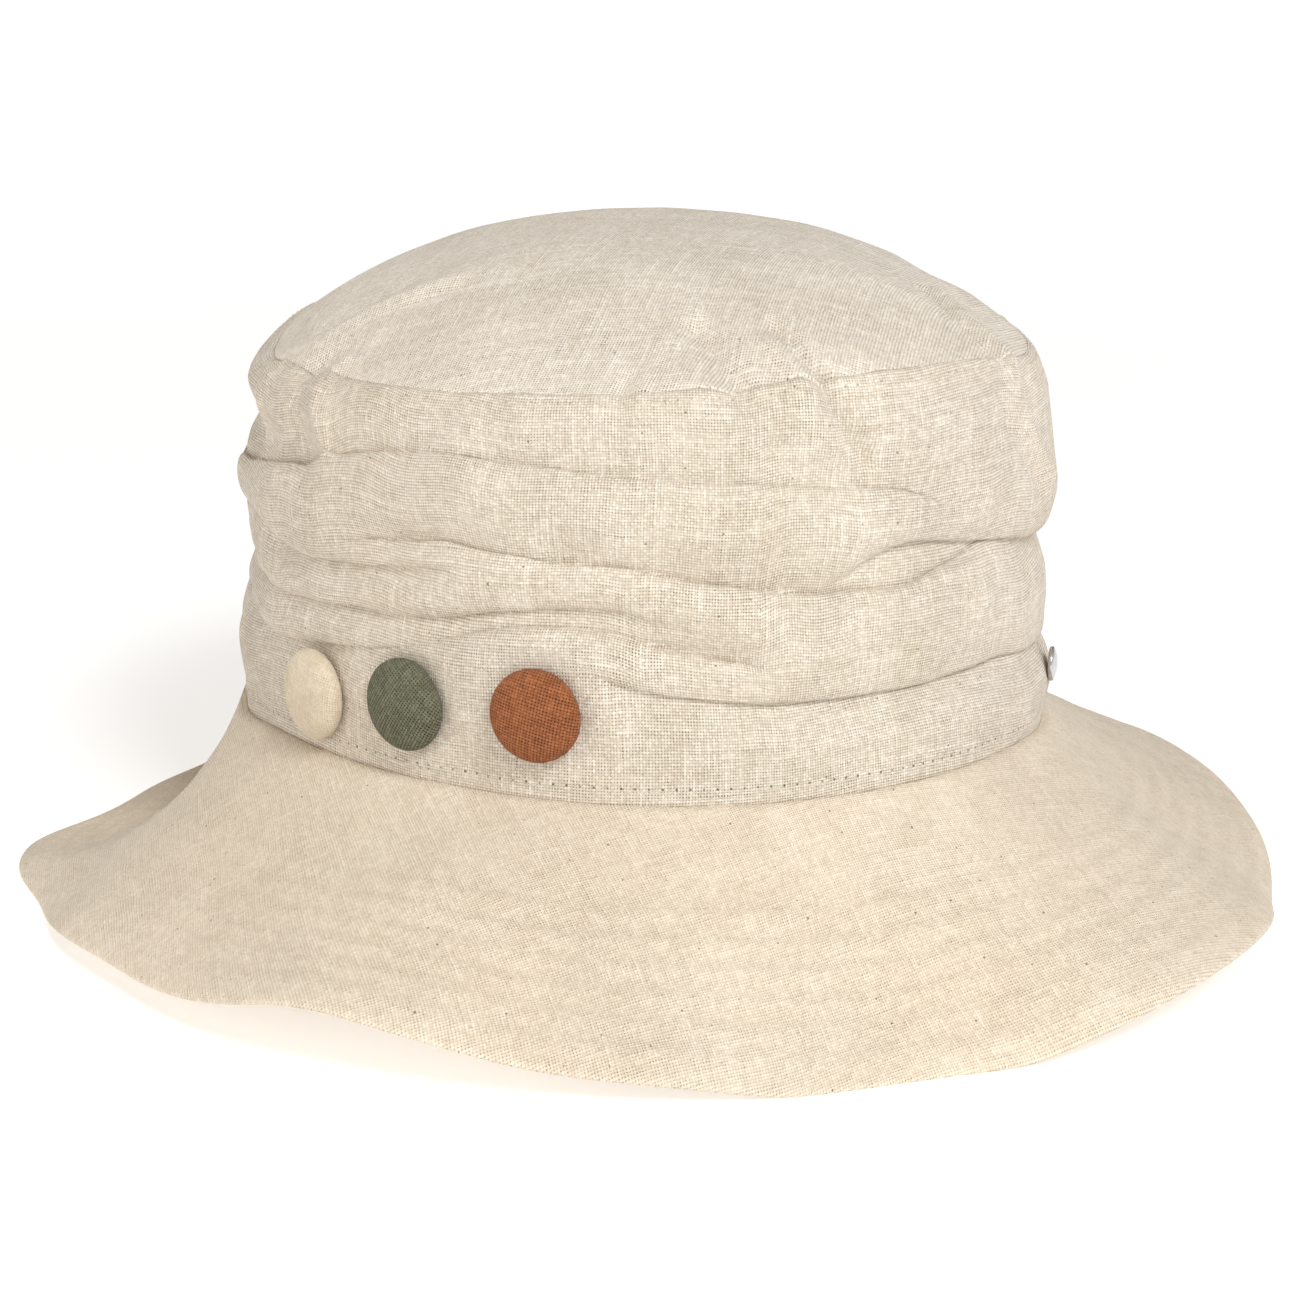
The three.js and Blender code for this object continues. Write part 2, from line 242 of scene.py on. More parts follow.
# %% Short calls for shader nodes
class Shader:
    """Short calls that add nodes to one material, or to the world, and give back what each node makes."""

    def __init__(self, material):
        self.material = material
        material.use_nodes = True
        self.tree = material.node_tree
        self.tree.nodes.clear()

    def add(self, kind, inputs=None, **settings):
        """One node. An input that is another node's output gets a link, any other input its value."""
        node = self.tree.nodes.new(kind)
        for key, value in settings.items():
            setattr(node, key, value)
        for socket, value in (inputs or {}).items():
            if isinstance(value, bpy.types.NodeSocket):
                self.tree.links.new(value, node.inputs[socket])
            else:
                node.inputs[socket].default_value = value
        return node

    def math(self, operation, a, b=0.0, clamp=False):
        return self.add("ShaderNodeMath", {0: a, 1: b}, operation=operation, use_clamp=clamp).outputs[0]

    def ramp(self, value, low, high, to_low=0.0, to_high=1.0):
        """A smooth step of a value between two limits."""
        inputs = {"Value": value, "From Min": low, "From Max": high, "To Min": to_low, "To Max": to_high}
        return self.add("ShaderNodeMapRange", inputs, interpolation_type="SMOOTHSTEP").outputs["Result"]

    def vector(self, x, y, z=0.0):
        return self.add("ShaderNodeCombineXYZ", {"X": x, "Y": y, "Z": z}).outputs[0]

    def noise(self, vector, scale, detail=2.0):
        """Smooth grey noise over a flat map."""
        inputs = {"Vector": vector, "Scale": scale, "Detail": detail}
        return self.add("ShaderNodeTexNoise", inputs, noise_dimensions="2D").outputs[0]

    def noise3(self, vector, scale, detail):
        """Three noises at once over a flat map, each about zero."""
        inputs = {"Vector": vector, "Scale": scale, "Detail": detail}
        color = self.add("ShaderNodeTexNoise", inputs, noise_dimensions="2D").outputs[1]
        about_zero = self.add("ShaderNodeVectorMath", {0: color, 1: (0.5,) * 3}, operation="SUBTRACT")
        return about_zero.outputs[0]

    def place(self, uv_map):
        """A UV map's two coordinates."""
        spots = self.add("ShaderNodeUVMap", uv_map=uv_map).outputs[0]
        parts = self.add("ShaderNodeSeparateXYZ", {0: spots})
        return parts.outputs[0], parts.outputs[1]

    def chance(self, x, y):
        """A value with no order in it, the same for the same x and y."""
        return self.add("ShaderNodeTexWhiteNoise", {"Vector": self.vector(x, y)},
                        noise_dimensions="2D").outputs[0]

    def mix(self, share, a, b, blend="MIX"):
        """Colour b laid over colour a by a share."""
        node = self.add("ShaderNodeMix", data_type="RGBA", blend_type=blend)
        for socket, value in ((0, share), (6, a), (7, b)):
            if isinstance(value, bpy.types.NodeSocket):
                self.tree.links.new(value, node.inputs[socket])
            else:
                node.inputs[socket].default_value = value
        return node.outputs[2]


# %% [markdown]
# ## A plain weave
# A plain weave passes each warp thread over one weft thread and under the next. The shader works that out
# from the panel's flat coordinates in millimetres, as the cloth lay before it was sewn. A thread is round,
# so its height falls away from its middle, and it rises and sinks as it crosses the others.

# %% Threads over and under
def plain_weave(s, x, y, warp_width, weft_width, warp_shift, weft_shift):
    """Threads of a plain weave at x and y, counted in threads: height, gap and which thread is on top.
    Each thread has its own width and lies a little to one side of its place."""
    turn_x = s.math("COSINE", s.math("MULTIPLY", s.math("FLOOR", x), math.pi))
    turn_y = s.math("COSINE", s.math("MULTIPLY", s.math("FLOOR", y), math.pi))

    def thread(across, along, width, shift, turn, sign):
        off = s.math("SUBTRACT", s.math("SUBTRACT", s.math("FRACT", across), 0.5), shift)
        square = s.math("POWER", s.math("ABSOLUTE", s.math("DIVIDE", off, width)), 2.0)
        round_top = s.math("POWER", s.math("SUBTRACT", 1.0, square, clamp=True), 0.5)
        wave = s.math("COSINE", s.math("MULTIPLY", s.math("SUBTRACT", along, 0.5), math.pi))
        level = s.math("MULTIPLY", s.math("MULTIPLY", wave, turn), sign * 0.35)
        covered = s.math("MULTIPLY", round_top, 2.5, clamp=True)
        body = s.math("ADD", s.math("MULTIPLY", round_top, 0.5), s.math("ADD", level, 0.5))
        return s.math("MULTIPLY", body, covered), covered

    warp, warp_cover = thread(x, y, warp_width, warp_shift, turn_x, 1)
    weft, weft_cover = thread(y, x, weft_width, weft_shift, turn_y, -1)
    gap = s.math("SUBTRACT", 1.0, s.math("MAXIMUM", warp_cover, weft_cover))
    return s.math("MAXIMUM", warp, weft), gap, s.math("GREATER_THAN", warp, weft)


# %% [markdown]
# ## Threads that aren't alike
# In cotton and linen no thread is quite straight or quite even. Some swell into slubs, some are lighter,
# and in places they lie further apart, so that the cloth is open there. Evenly drawn threads would look
# like a wire mesh. Here a slow noise bends them, and each thread has a noise of its own along its length.

# %% Bent threads
BEND = 5.0
JITTER = 0.11


def wandering(s, flat, pitch):
    """The flat map in millimetres, with its threads bent a little, in broad bends and in short ones."""
    drift = s.noise3(flat, 0.018, 0.0)
    jitter = s.noise3(flat, 0.9, 1.0)
    bent = s.add("ShaderNodeVectorMath", {0: drift, 1: (BEND,) * 3, 2: flat}, operation="MULTIPLY_ADD")
    moved = s.add("ShaderNodeVectorMath", {0: jitter, 1: (JITTER * pitch,) * 3, 2: bent.outputs[0]},
                  operation="MULTIPLY_ADD")
    return moved.outputs[0]


# %% Uneven threads
NEXT_THREAD = 3.7
ALONG_THREAD = 0.035


def uneven_threads(s, flat, x, y, fill, slub):
    """The weave at x and y, counted in threads: its height, the gaps and the tone of the thread on top.
    fill is the threads' half width as a share of their spacing, slub how much they swell in places."""
    warp_number = s.math("MULTIPLY", s.math("FLOOR", x), NEXT_THREAD)
    weft_number = s.math("MULTIPLY", s.math("FLOOR", y), NEXT_THREAD)
    warp_run = s.noise(s.vector(warp_number, s.math("MULTIPLY", y, ALONG_THREAD)), 1.0)
    weft_run = s.noise(s.vector(s.math("MULTIPLY", x, ALONG_THREAD), weft_number), 1.0)
    open_here = s.math("ADD", s.ramp(s.noise(flat, 0.05, 3.0), 0.3, 0.7, -0.02, 0.025),
                       s.ramp(s.noise(flat, 0.45, 2.0), 0.3, 0.7, -0.035, 0.045))

    def width(run):
        swell = s.math("MULTIPLY", s.math("SUBTRACT", run, 0.5), slub * 0.25)
        swell = s.math("ADD", swell, s.ramp(run, 0.6, 0.75, 0.0, slub * 0.1))
        return s.math("ADD", s.math("ADD", swell, fill), open_here)

    def shift(run):
        return s.math("MULTIPLY", s.math("SUBTRACT", run, 0.5), 0.35)

    height, gap, warp_on_top = plain_weave(s, x, y, width(warp_run), width(weft_run),
                                           shift(warp_run), shift(weft_run))
    run = s.add("ShaderNodeMix", {0: warp_on_top, 2: weft_run, 3: warp_run}, data_type="FLOAT").outputs[0]
    thin = s.ramp(run, 0.3, 0.6, 1 - slub * 0.07, 1.0)
    tone = s.math("ADD", thin, s.ramp(run, 0.58, 0.72, 0.0, slub * 0.13))
    return height, gap, tone


# %% [markdown]
# ## The cloth's colour
# Unbleached cloth has no single colour. Each crossing of two threads is a little lighter or darker, and
# there are broad pale and warm patches. Shade is painted in on top: the cloth is darker and browner where
# threads lie low, as light that has passed between the threads comes back browner. One colour with a
# bump would look like plastic, so the tone is worked out in these steps, one by one.

# %% Light and dark in the cloth
def shaded(s, flat, x, y, tone, height, contrast):
    """How light the cloth is: by thread, by crossing and in patches, with painted shade low down
    between threads.
    """
    shade = s.math("MULTIPLY", tone, s.ramp(s.noise(flat, 0.022, 3.0), 0.3, 0.7, 0.97, 1.025))
    knot = s.chance(s.math("FLOOR", x), s.math("FLOOR", y))
    shade = s.math("MULTIPLY", shade, s.ramp(knot, 0.0, 1.0, 1 - 0.2 * contrast, 1 + 0.14 * contrast))
    shade = s.math("MULTIPLY", shade, s.ramp(s.noise(flat, 0.13, 3.0), 0.3, 0.7, 0.975, 1.02))
    # Painted shade: the cloth is darker where its threads lie low between the others.
    return s.math("MULTIPLY", shade, s.ramp(height, 0.35, 1.15, 1 - contrast, 1.0))


def warm_patches_and_brown_shade(s, flat, color, shade):
    """The cloth's colour, warmer in broad patches, with its painted shade in low places tinted browner."""
    # Painted shade: the darker places, mostly the painted shade low between threads, are tinted browner.
    tints = [s.math("POWER", shade, power) for power in (0.82, 1.0, 1.3)]
    tinted = s.mix(1.0, (*color, 1), s.vector(*tints), "MULTIPLY")
    warm = s.ramp(s.noise(flat, 0.012, 2.0), 0.35, 0.65)
    warmer = s.mix(1.0, tinted, (1.03, 0.99, 0.93, 1), "MULTIPLY")
    return s.mix(s.math("MULTIPLY", warm, 0.25), tinted, warmer)


# %% What shows between the threads
def with_gaps(s, flat, x, y, tinted, gap, hole_shade_color, doubled):
    """The cloth with its holes, which show painted shade. Past doubled on the rows map, a seam
    allowance behind it closes them and the cloth is a little paler.
    """
    uneven = s.chance(s.math("ROUND", x), s.math("ROUND", y))
    open_patches = s.ramp(s.noise(flat, 0.12, 2.0), 0.35, 0.65, 0.6, 1.1)
    seen = s.math("MULTIPLY", s.ramp(uneven, 0.1, 1.0, 0.08, 1.0), open_patches)
    if doubled:
        behind = s.ramp(s.place("rows")[1], doubled, doubled + 0.5)
        seen = s.math("MULTIPLY", seen, s.math("SUBTRACT", 1.0, s.math("MULTIPLY", behind, 0.7)))
        paler = s.mix(1.0, tinted, (1.07, 1.06, 1.05, 1), "MULTIPLY")
        tinted = s.mix(s.math("MULTIPLY", behind, 0.5), tinted, paler)
    # Painted shade: the holes between the threads show a dark colour for the shade behind the cloth.
    return s.mix(s.math("MULTIPLY", gap, seen), tinted, (*hole_shade_color, 1))


# %% [markdown]
# ## Flecks and needle holes
# Bits of husk are spun into unbleached yarn and show as dark flecks. They could be scattered as small
# meshes, but they lie inside the threads, so a cell pattern in the colour is nearer to them. A needle
# leaves a small hole between each stitch and the next, so the rows of stitching get pits: painted shade
# in the colour, and a dip in the bump.

# %% Flecks
HUSK = (0.16, 0.1, 0.055, 1)


def flecked(s, moved, tinted, fleck):
    """A few dark flecks and more faint ones: their spacing, their size, how few there are and how dark."""
    for scale, size, few, dark in ((0.13, 0.036, 0.42, 0.85), (0.24, 0.05, 0.35, 0.4)):
        cells = s.add("ShaderNodeTexVoronoi", {"Vector": moved, "Scale": scale}, voronoi_dimensions="2D")
        pick = s.add("ShaderNodeSeparateColor", {0: cells.outputs["Color"]})
        reach = s.math("MULTIPLY", s.ramp(pick.outputs[0], few, 1.0, 0.0, 1.0), size)
        spot = s.ramp(s.math("SUBTRACT", reach, cells.outputs["Distance"]), 0.0, 0.012)
        tinted = s.mix(s.math("MULTIPLY", spot, dark * fleck), tinted, HUSK)
    return tinted


# %% Needle holes
# Painted shade: the colour of the shade inside a needle hole.
NEEDLE_HOLE_SHADE = (0.1, 0.065, 0.035, 1)
# In millimetres: where a hole's full painted shade ends, where its edge ends, and how far it lies beside
# its row.
HOLE_MIDDLE = 0.14
HOLE_EDGE = 0.34
HOLE_ASIDE = 0.5


def with_holes(s, tinted, height, first, spacing, count, depth, even):
    """Needle holes in count rows of stitching, the first of them at first on the rows map. depth is how
    deep the holes are and how dark their painted shade is, and even is the share of that depth that
    every hole has."""
    along, down = s.place("rows")
    nearest = s.math("ROUND", s.math("DIVIDE", s.math("SUBTRACT", down, first), spacing))
    nearest = s.math("MINIMUM", s.math("MAXIMUM", nearest, 0.0), count - 1.0)
    off = s.math("SUBTRACT", down, s.math("MULTIPLY", nearest, spacing))
    off = s.math("SUBTRACT", off, first + HOLE_ASIDE)
    step = s.math("MULTIPLY", s.math("SUBTRACT", s.math("FRACT", along), 0.5), STITCH)
    away = s.add("ShaderNodeVectorMath", {0: s.vector(off, step)}, operation="LENGTH").outputs["Value"]
    deep = s.ramp(s.chance(s.math("FLOOR", along), nearest), 0.0, 1.0, even, 1.0)
    hole = s.math("MULTIPLY", s.ramp(away, HOLE_MIDDLE, HOLE_EDGE, 1.0, 0.0), deep)
    # Painted shade: each hole is darkened towards the shade inside it.
    tinted = s.mix(s.math("MULTIPLY", hole, depth), tinted, NEEDLE_HOLE_SHADE)
    return tinted, s.math("SUBTRACT", height, s.math("MULTIPLY", hole, 1.5 * depth))


# %% [markdown]
# ## One material for every cloth
# The hat has five cloths: the crown's open one, the brim's close one and the buttons' three. Each could
# have nodes of its own, but they differ only in colour, thread spacing and how even they are. So one
# function joins the steps above, and each piece calls it with its own numbers. A little sheen stands for
# the fibre ends that catch light from the side.

# %% Woven cloth
def cloth(name, color, hole_shade_color, pitch, fill, contrast, slub, fleck, bump,
          rows=(), doubled=None, sheen=0.2):
    """Woven cloth. pitch is the thread spacing in mm, fill the threads' half width as a share of it.
    hole_shade_color is the painted shade that shows in the holes. contrast sets the painted shade on
    the low threads and how far crossings differ in tone, slub swells some of them, fleck adds husk,
    bump is in mm. rows holds what each set of stitch rows gives to with_holes."""
    s = Shader(bpy.data.materials.new(name))
    flat = s.add("ShaderNodeUVMap", uv_map="weave").outputs[0]
    moved = wandering(s, flat, pitch)
    threads = s.add("ShaderNodeVectorMath", {0: moved, 1: (1 / pitch,) * 3}, operation="MULTIPLY")
    parts = s.add("ShaderNodeSeparateXYZ", {0: threads.outputs[0]})
    x, y = parts.outputs[0], parts.outputs[1]
    height, gap, tone = uneven_threads(s, flat, x, y, fill, slub)
    tinted = warm_patches_and_brown_shade(s, flat, color, shaded(s, flat, x, y, tone, height, contrast))
    tinted = with_gaps(s, flat, x, y, tinted, gap, hole_shade_color, doubled)
    if fleck:
        tinted = flecked(s, moved, tinted, fleck)
    for row_set in rows:
        tinted, height = with_holes(s, tinted, height, *row_set)
    fuzz = s.math("MULTIPLY", s.noise(flat, 6.0, 2.0), 0.25)
    height = s.math("ADD", height, fuzz)
    raised = s.add("ShaderNodeBump", {"Strength": 1.0, "Distance": bump * MM, "Height": height})
    surface = s.add("ShaderNodeBsdfPrincipled", {
        "Base Color": tinted, "Normal": raised.outputs[0], "Roughness": 0.92,
        "Specular IOR Level": 0.18, "Sheen Weight": sheen, "Sheen Roughness": 0.6,
    })
    s.add("ShaderNodeOutputMaterial", {"Surface": surface.outputs[0]})
    print(f"{name}: {len(s.tree.nodes)} nodes, {10 / pitch:.0f} threads to the centimetre")
    return s.material


# %% [markdown]
# ## Crown side
# The side is one long band of open-weave cloth, sewn to the brim below and to the tip above. It is pushed
# down as worn, so it lies in soft rolls that lap over each other. Cloth simulation could make rolls, but
# not these rolls: on the real hat each one starts, deepens and fades at its own place. So the side is an
# oval that stands out more or less by height and angle, and the folds are pressed into it afterwards.

# %% How far the side stands out
# The heights above the seam, and at each of them the distance out from the head's oval by angle. The brim
# seam is drawn in from the oval in the same way.
LEVELS = np.array([0, 10, 25, 38, 45, 53, 60, 68])
SEAM_OUT = np.array([[-118, 0], [0, 0], [55, -1.6], [120, 0]])

STANDS_OUT = [
    SEAM_OUT,
    np.array([[-118, 1.4], [-80, 0.6], [0, 0.2], [120, 0.2]]),
    np.array([[-118, -0.6], [-85, 1.4], [-30, 1.8], [55, -1.6], [150, 1.4]]),
    np.array([[-118, -0.8], [-85, 0.6], [-30, 1.8], [55, -2.0], [150, 1.2]]),
    np.array([[-118, 1.9], [-85, 0.8], [-30, 2.0], [55, 0.4], [150, 1.4]]),
    np.array([[-118, 0.2], [-30, 2.4], [55, -0.5], [150, 1.6]]),
    np.array([[-118, -4.2], [-75, 0.4], [-30, 1.6], [55, -1.5], [150, 0.8]]),
    np.array([[-118, -2.2], [-75, -1], [-30, 0.4], [55, -2.4], [150, -0.4]]),
]


def stands_out(angle, height):
    """The cloth's smooth distance out from the oval, before any fold."""
    values = np.stack([around(table, 1, angle) for table in STANDS_OUT])
    slopes = np.gradient(values, LEVELS, axis=0)
    i = np.clip(np.searchsorted(LEVELS, height, side="right") - 1, 0, len(LEVELS) - 2)
    span = (LEVELS[i + 1] - LEVELS[i]).astype(float)
    f = np.clip((height - LEVELS[i]) / span, 0, 1)

    def pick(source, k):
        return np.take_along_axis(source, k[None], 0)[0]

    rise = f * f * (3 - 2 * f)
    ends = pick(values, i) * (1 - rise) + pick(values, i + 1) * rise
    return ends + span * f * (1 - f) * ((1 - f) * pick(slopes, i) - f * pick(slopes, i + 1))


# %% [markdown]
# ## Fold lines
# Each fold is a line around the crown with a depth, so the cloth between folds stays nearly straight. A
# roll whose lower edge hangs over the one below casts a thin shadow. Where a lower roll stands proud
# instead, its top edge catches the light. Both are the same shape, one of them turned upside down.

# %% The folds
# Each fold: 1 if the cloth above hangs over, -1 if the cloth below stands proud; the width of the proud lip
# and of the valley beside it; then rows of angle, height above the seam, depth and lap.
FOLDS = {
    "top roll": (-1, 2.6, 14.0, np.array([
        [-150, 52, 2, 0.6], [-125, 49, 2.5, 0.8], [-111, 51.5, 3.4, 1.2], [-93, 55.4, 3.6, 1.2],
        [-82, 60, 3.4, 1], [-68, 65, 3.2, 0.8], [-53, 66, 3.4, 0.7], [-38, 65, 3.3, 0.7],
        [-24, 63.8, 3.1, 0.6], [-10, 62.3, 2.9, 0.6], [0, 60.5, 2.7, 0.6], [7, 57.6, 2.3, 0.4],
        [17, 54, 0, 0], [60, 55, 0, 0], [95, 60, 1.6, 0.4], [160, 60, 2.6, 0.6],
    ])),
    "second roll, left": (1, 3.0, 8.0, np.array([
        [-140, 44, 1.5, 0.4], [-118, 43.6, 2.6, 0.8], [-101, 43.2, 3.4, 1], [-94, 39.8, 3.8, 1.2],
        [-85, 40, 3.8, 1.2], [-77, 40.8, 3.6, 1.1], [-69, 41.6, 3, 1], [-62, 43, 2, 0.4],
        [-56, 44, 0, 0], [60, 44, 0, 0], [170, 44, 0.8, 0],
    ])),
    "third roll's proud top": (-1, 2.6, 14.0, np.array([
        [-80, 44, 0, 0], [-74, 46, 1.4, 0.4], [-69, 47.4, 2.8, 0.9], [-61, 49, 3.6, 1],
        [-55, 48.1, 4, 1], [-46, 47.1, 4.3, 0.9], [-35, 46.7, 4.5, 0.9], [-26, 44, 4.5, 0.9],
        [-20, 43, 4.3, 0.8], [-12, 41.3, 4.1, 0.8], [-5, 40.7, 4.2, 0.8], [2, 40.5, 4.3, 0.8],
        [7, 41.8, 4.1, 0.8], [13, 43.7, 3.4, 0.6], [19, 45.9, 2, 0.4], [27, 46, 0, 0], [120, 46, 0, 0],
    ])),
    "pocket": (1, 3.2, 11.0, np.array([
        [-60, 42, 0, 0], [-12, 42, 0, 0], [-7, 44, 2.2, 0.2], [-3, 47.6, 4.6, 0.7], [1, 49.6, 5.8, 1.2],
        [7, 49.2, 6.4, 1.5], [21, 46.6, 6.2, 1.7], [42, 42.3, 5.4, 1.6], [60, 42, 4.2, 1.2],
        [80, 43, 3.6, 1], [115, 46, 3.4, 1], [160, 43.5, 3, 0.8], [200, 44, 1.5, 0.4], [240, 43, 0, 0],
    ])),
    "third roll": (1, 3.0, 8.0, np.array([
        [-150, 31, 2.4, 0.8], [-120, 30.4, 3, 1], [-90, 29.8, 3.2, 1], [-81, 31.2, 3.4, 1.1],
        [-66, 33.3, 4, 1.3], [-60, 34.5, 4.5, 1.4], [-53, 36.8, 4.9, 1.5], [-46, 38.5, 4.9, 1.5],
        [-40, 39, 4.3, 1.4], [-36, 38.3, 2.9, 0.9], [-33, 36.4, 1.4, 0.3], [-29, 35, 0.6, 0],
        [-22, 32.5, 0, 0], [-14, 30.5, 0, 0], [60, 30, 0, 0], [100, 33, 2.4, 0.8], [165, 31, 3, 0.9],
    ])),
    "fourth roll's proud top": (-1, 2.8, 10.0, np.array([
        [-74, 26.5, 0, 0], [-66, 27.6, 1, 0.2], [-62, 28.3, 1.8, 0.4], [-56, 31, 3, 0.7],
        [-50, 33.1, 3.8, 0.8], [-42, 34.2, 4.4, 0.8], [-35, 32.5, 4.9, 0.8], [-31, 31.1, 5.3, 0.7],
        [-25, 29, 5.2, 0.6], [-21, 27.9, 4.6, 0.4], [-18, 27.3, 2.3, 0.1], [-14.5, 27, 0, 0],
        [120, 27, 0, 0],
    ])),
    "lowest roll": (1, 2.8, 10.0, np.array([
        [-150, 20, 1.6, 0.4], [-118, 22, 1.2, 0.3], [-93, 19.9, 3, 1], [-81, 22.2, 3.2, 1],
        [-72, 24.6, 2.4, 0.8], [-66, 26.1, 1.8, 0.6], [-57, 28.2, 1, 0.2], [-49, 29.5, 0.5, 0],
        [-43, 28, 0.4, 0], [-38.5, 25, 0.9, 0.1], [-35, 23.2, 2.4, 0.7], [-31, 22.3, 4, 1.2],
        [-25, 21.3, 4.8, 1.4], [-19, 20.5, 5, 1.5], [-10, 20.4, 5.3, 1.6], [4, 20.7, 5.3, 1.6],
        [17, 21, 5, 1.5], [25, 20.8, 4.7, 1.4], [40, 17.8, 4, 1.2], [60, 18, 3.6, 1.1], [100, 21, 3, 1],
        [170, 19, 3, 1],
    ])),
}

# %% The side with its folds
SHOULDER = 66
SHOULDER_ROUND = 2.4
DEEPEST = 8.0
ROLL_IN = 0.48
ROLL_WIDTH = 12.0


def side_line(angle, height):
    """The side's outer surface: distance out and height above the ground, folds included."""
    top = tip_seam_height(angle) - SEAM_HEIGHT
    out = stands_out(angle, height)
    turn = np.clip((height - SHOULDER) / (top - SHOULDER), 0, 1) ** SHOULDER_ROUND
    out = out * (1 - turn) - around(TIP_SEAM, 2, angle) * turn

    # Near its line a fold has a steep lip on one side and a long valley on the other, and the roll above
    # the lip bends in towards it. The lap moves the lip over the valley.
    fold_depth = np.zeros(height.shape)
    shift = np.zeros(height.shape)
    for hangs, lip, valley, table in FOLDS.values():
        away = (height - around(table, 1, angle)) * hangs
        depth = np.maximum(around(table, 2, angle), 0)
        on_lip = 1 - np.clip(away / lip, 0, 1)
        in_valley = 1 - np.clip(-away / valley, 0, 1)
        profile = np.where(away > 0, 1 - np.sqrt(1 - on_lip**2), in_valley**1.4)
        rounding = (1 - np.clip(away / ROLL_WIDTH, 0, 1)) ** 2 * (away > 0)
        fold_depth += depth * (profile + ROLL_IN * rounding * (1 - profile))
        x = np.maximum(away, 0) / (0.35 * lip)
        shift -= hangs * np.maximum(around(table, 3, angle), 0) * x * np.exp(1 - x)
    out -= DEEPEST * np.tanh(fold_depth / DEEPEST)
    return out, SEAM_HEIGHT + height + shift


# %% Rows closer together near the folds
def spread_rows(angle, count):
    """Heights for each column, closer together near its folds."""
    fine = np.linspace(0, 1, 801)[:, None]
    bottom = seam_height(angle) - SEAM_HEIGHT
    top = tip_seam_height(angle) - SEAM_HEIGHT
    height = bottom + (top - bottom) * fine
    weight = np.ones(height.shape)
    for hangs, lip, _, table in FOLDS.values():
        away = (height - around(table, 1, angle)) * hangs - lip * 0.3
        weight += 2.2 * np.clip(around(table, 2, angle), 0, 3) / 3 * np.exp(-((away / 1.6) ** 2))
    total = np.cumsum(weight, 0)
    share = (total - total[0]) / (total[-1] - total[0])
    wanted = np.linspace(0, 1, count)
    return np.stack([np.interp(wanted, share[:, c], height[:, c]) for c in range(len(angle))], 1)


# %% [markdown]
# ## Soft creases
# Handling leaves soft creases that run up over the crown, and some of them cross the tip's seam. They
# could be drawn with a sculpt brush, but then a change of the folds would mean drawing them again. Here
# a crease is a short line by angle and height with a width and a rise, and the side and the tip share it.

# %% The creases
# Width, rise (below 0 a groove), then points by angle and height above the brim seam. Past 80 the height
# runs in over the tip.
CREASES = [
    (3.8, -1.3, [(-91, 80), (-89.5, 72), (-86.5, 59)]),
    (2.2, 1.2, [(-84, 84), (-83, 72), (-80.5, 60)]),
    (2.0, 0.9, [(-99, 79), (-101, 64), (-102, 54)]),
    (4.6, 1.0, [(-105, 81), (-97, 88), (-93, 100), (-86, 114)]),
    (5.0, -1.1, [(-91, 80), (-89, 85), (-86, 92), (-80, 108)]),
    (3.4, -2.3, [(-26, 100), (-24, 95), (-22, 83), (-17, 70)]),
    (3.0, 1.6, [(-15, 90), (-13.5, 82), (-9.5, 70)]),
    (2.3, -2.4, [(-13, 98), (-11.5, 89), (-10, 83), (-7, 73), (-4, 67)]),
    (4.0, 0.8, [(-31, 96), (-29, 86), (-25, 76)]),
    (3.2, 0.7, [(-2, 88), (-1, 80), (3, 70)]),
    (1.6, -0.8, [(-36, 85), (-37, 79), (-36, 73)]),
    (2.0, 0.6, [(-34, 86), (-34, 79), (-33, 72)]),
    (2.0, -0.45, [(3, 79), (4.5, 65)]),
    (2.4, -1.3, [(40, 106), (28, 93), (26, 83), (22, 76), (26, 66), (34, 54)]),
    (2.6, 1.0, [(44, 103), (33, 93), (30, 84), (27, 76), (31, 66), (40, 54)]),
    (3.0, 0.5, [(14, 76), (16, 64), (18, 56)]),
    (3.4, -0.6, [(-60, 78), (-62, 70)]),
    (3.0, 0.4, [(-50, 78), (-49, 70)]),
    (5.5, -1.0, [(-67, 45), (-63, 45.6)]),
    (3.2, -0.8, [(-40, 24.5), (-35, 22)]),
    (2.6, 0.5, [(-37, 18), (-36, 10)]),
    (2.8, -0.5, [(-57, 8), (-56, 2)]),
    (2.4, 0.4, [(-53, 9), (-52, 2)]),
    (3.0, -0.4, [(-30, 15), (-29, 4)]),
    (3.4, 0.5, [(8, 44), (13, 40), (17, 34)]),
    (3.0, -0.5, [(19, 44), (22, 38), (24, 32)]),
    (4.0, -0.5, [(-14, 38), (-6, 34), (0, 27)]),
    (4.0, 0.4, [(-4, 38), (3, 33), (8, 28)]),
    (3.0, -0.4, [(35, 14), (36, 4)]),
    (5.0, -0.9, [(120, 76), (122, 60)]),
    (4.0, 0.7, [(128, 88), (130, 74), (131, 62)]),
    (5.0, -0.9, [(170, 92), (168, 80), (166, 66)]),
    (4.0, 0.7, [(178, 90), (176, 72)]),
    (5.0, -0.8, [(-150, 90), (-148, 76), (-146, 60)]),
    (4.0, 0.6, [(75, 90), (72, 76), (70, 62)]),
]

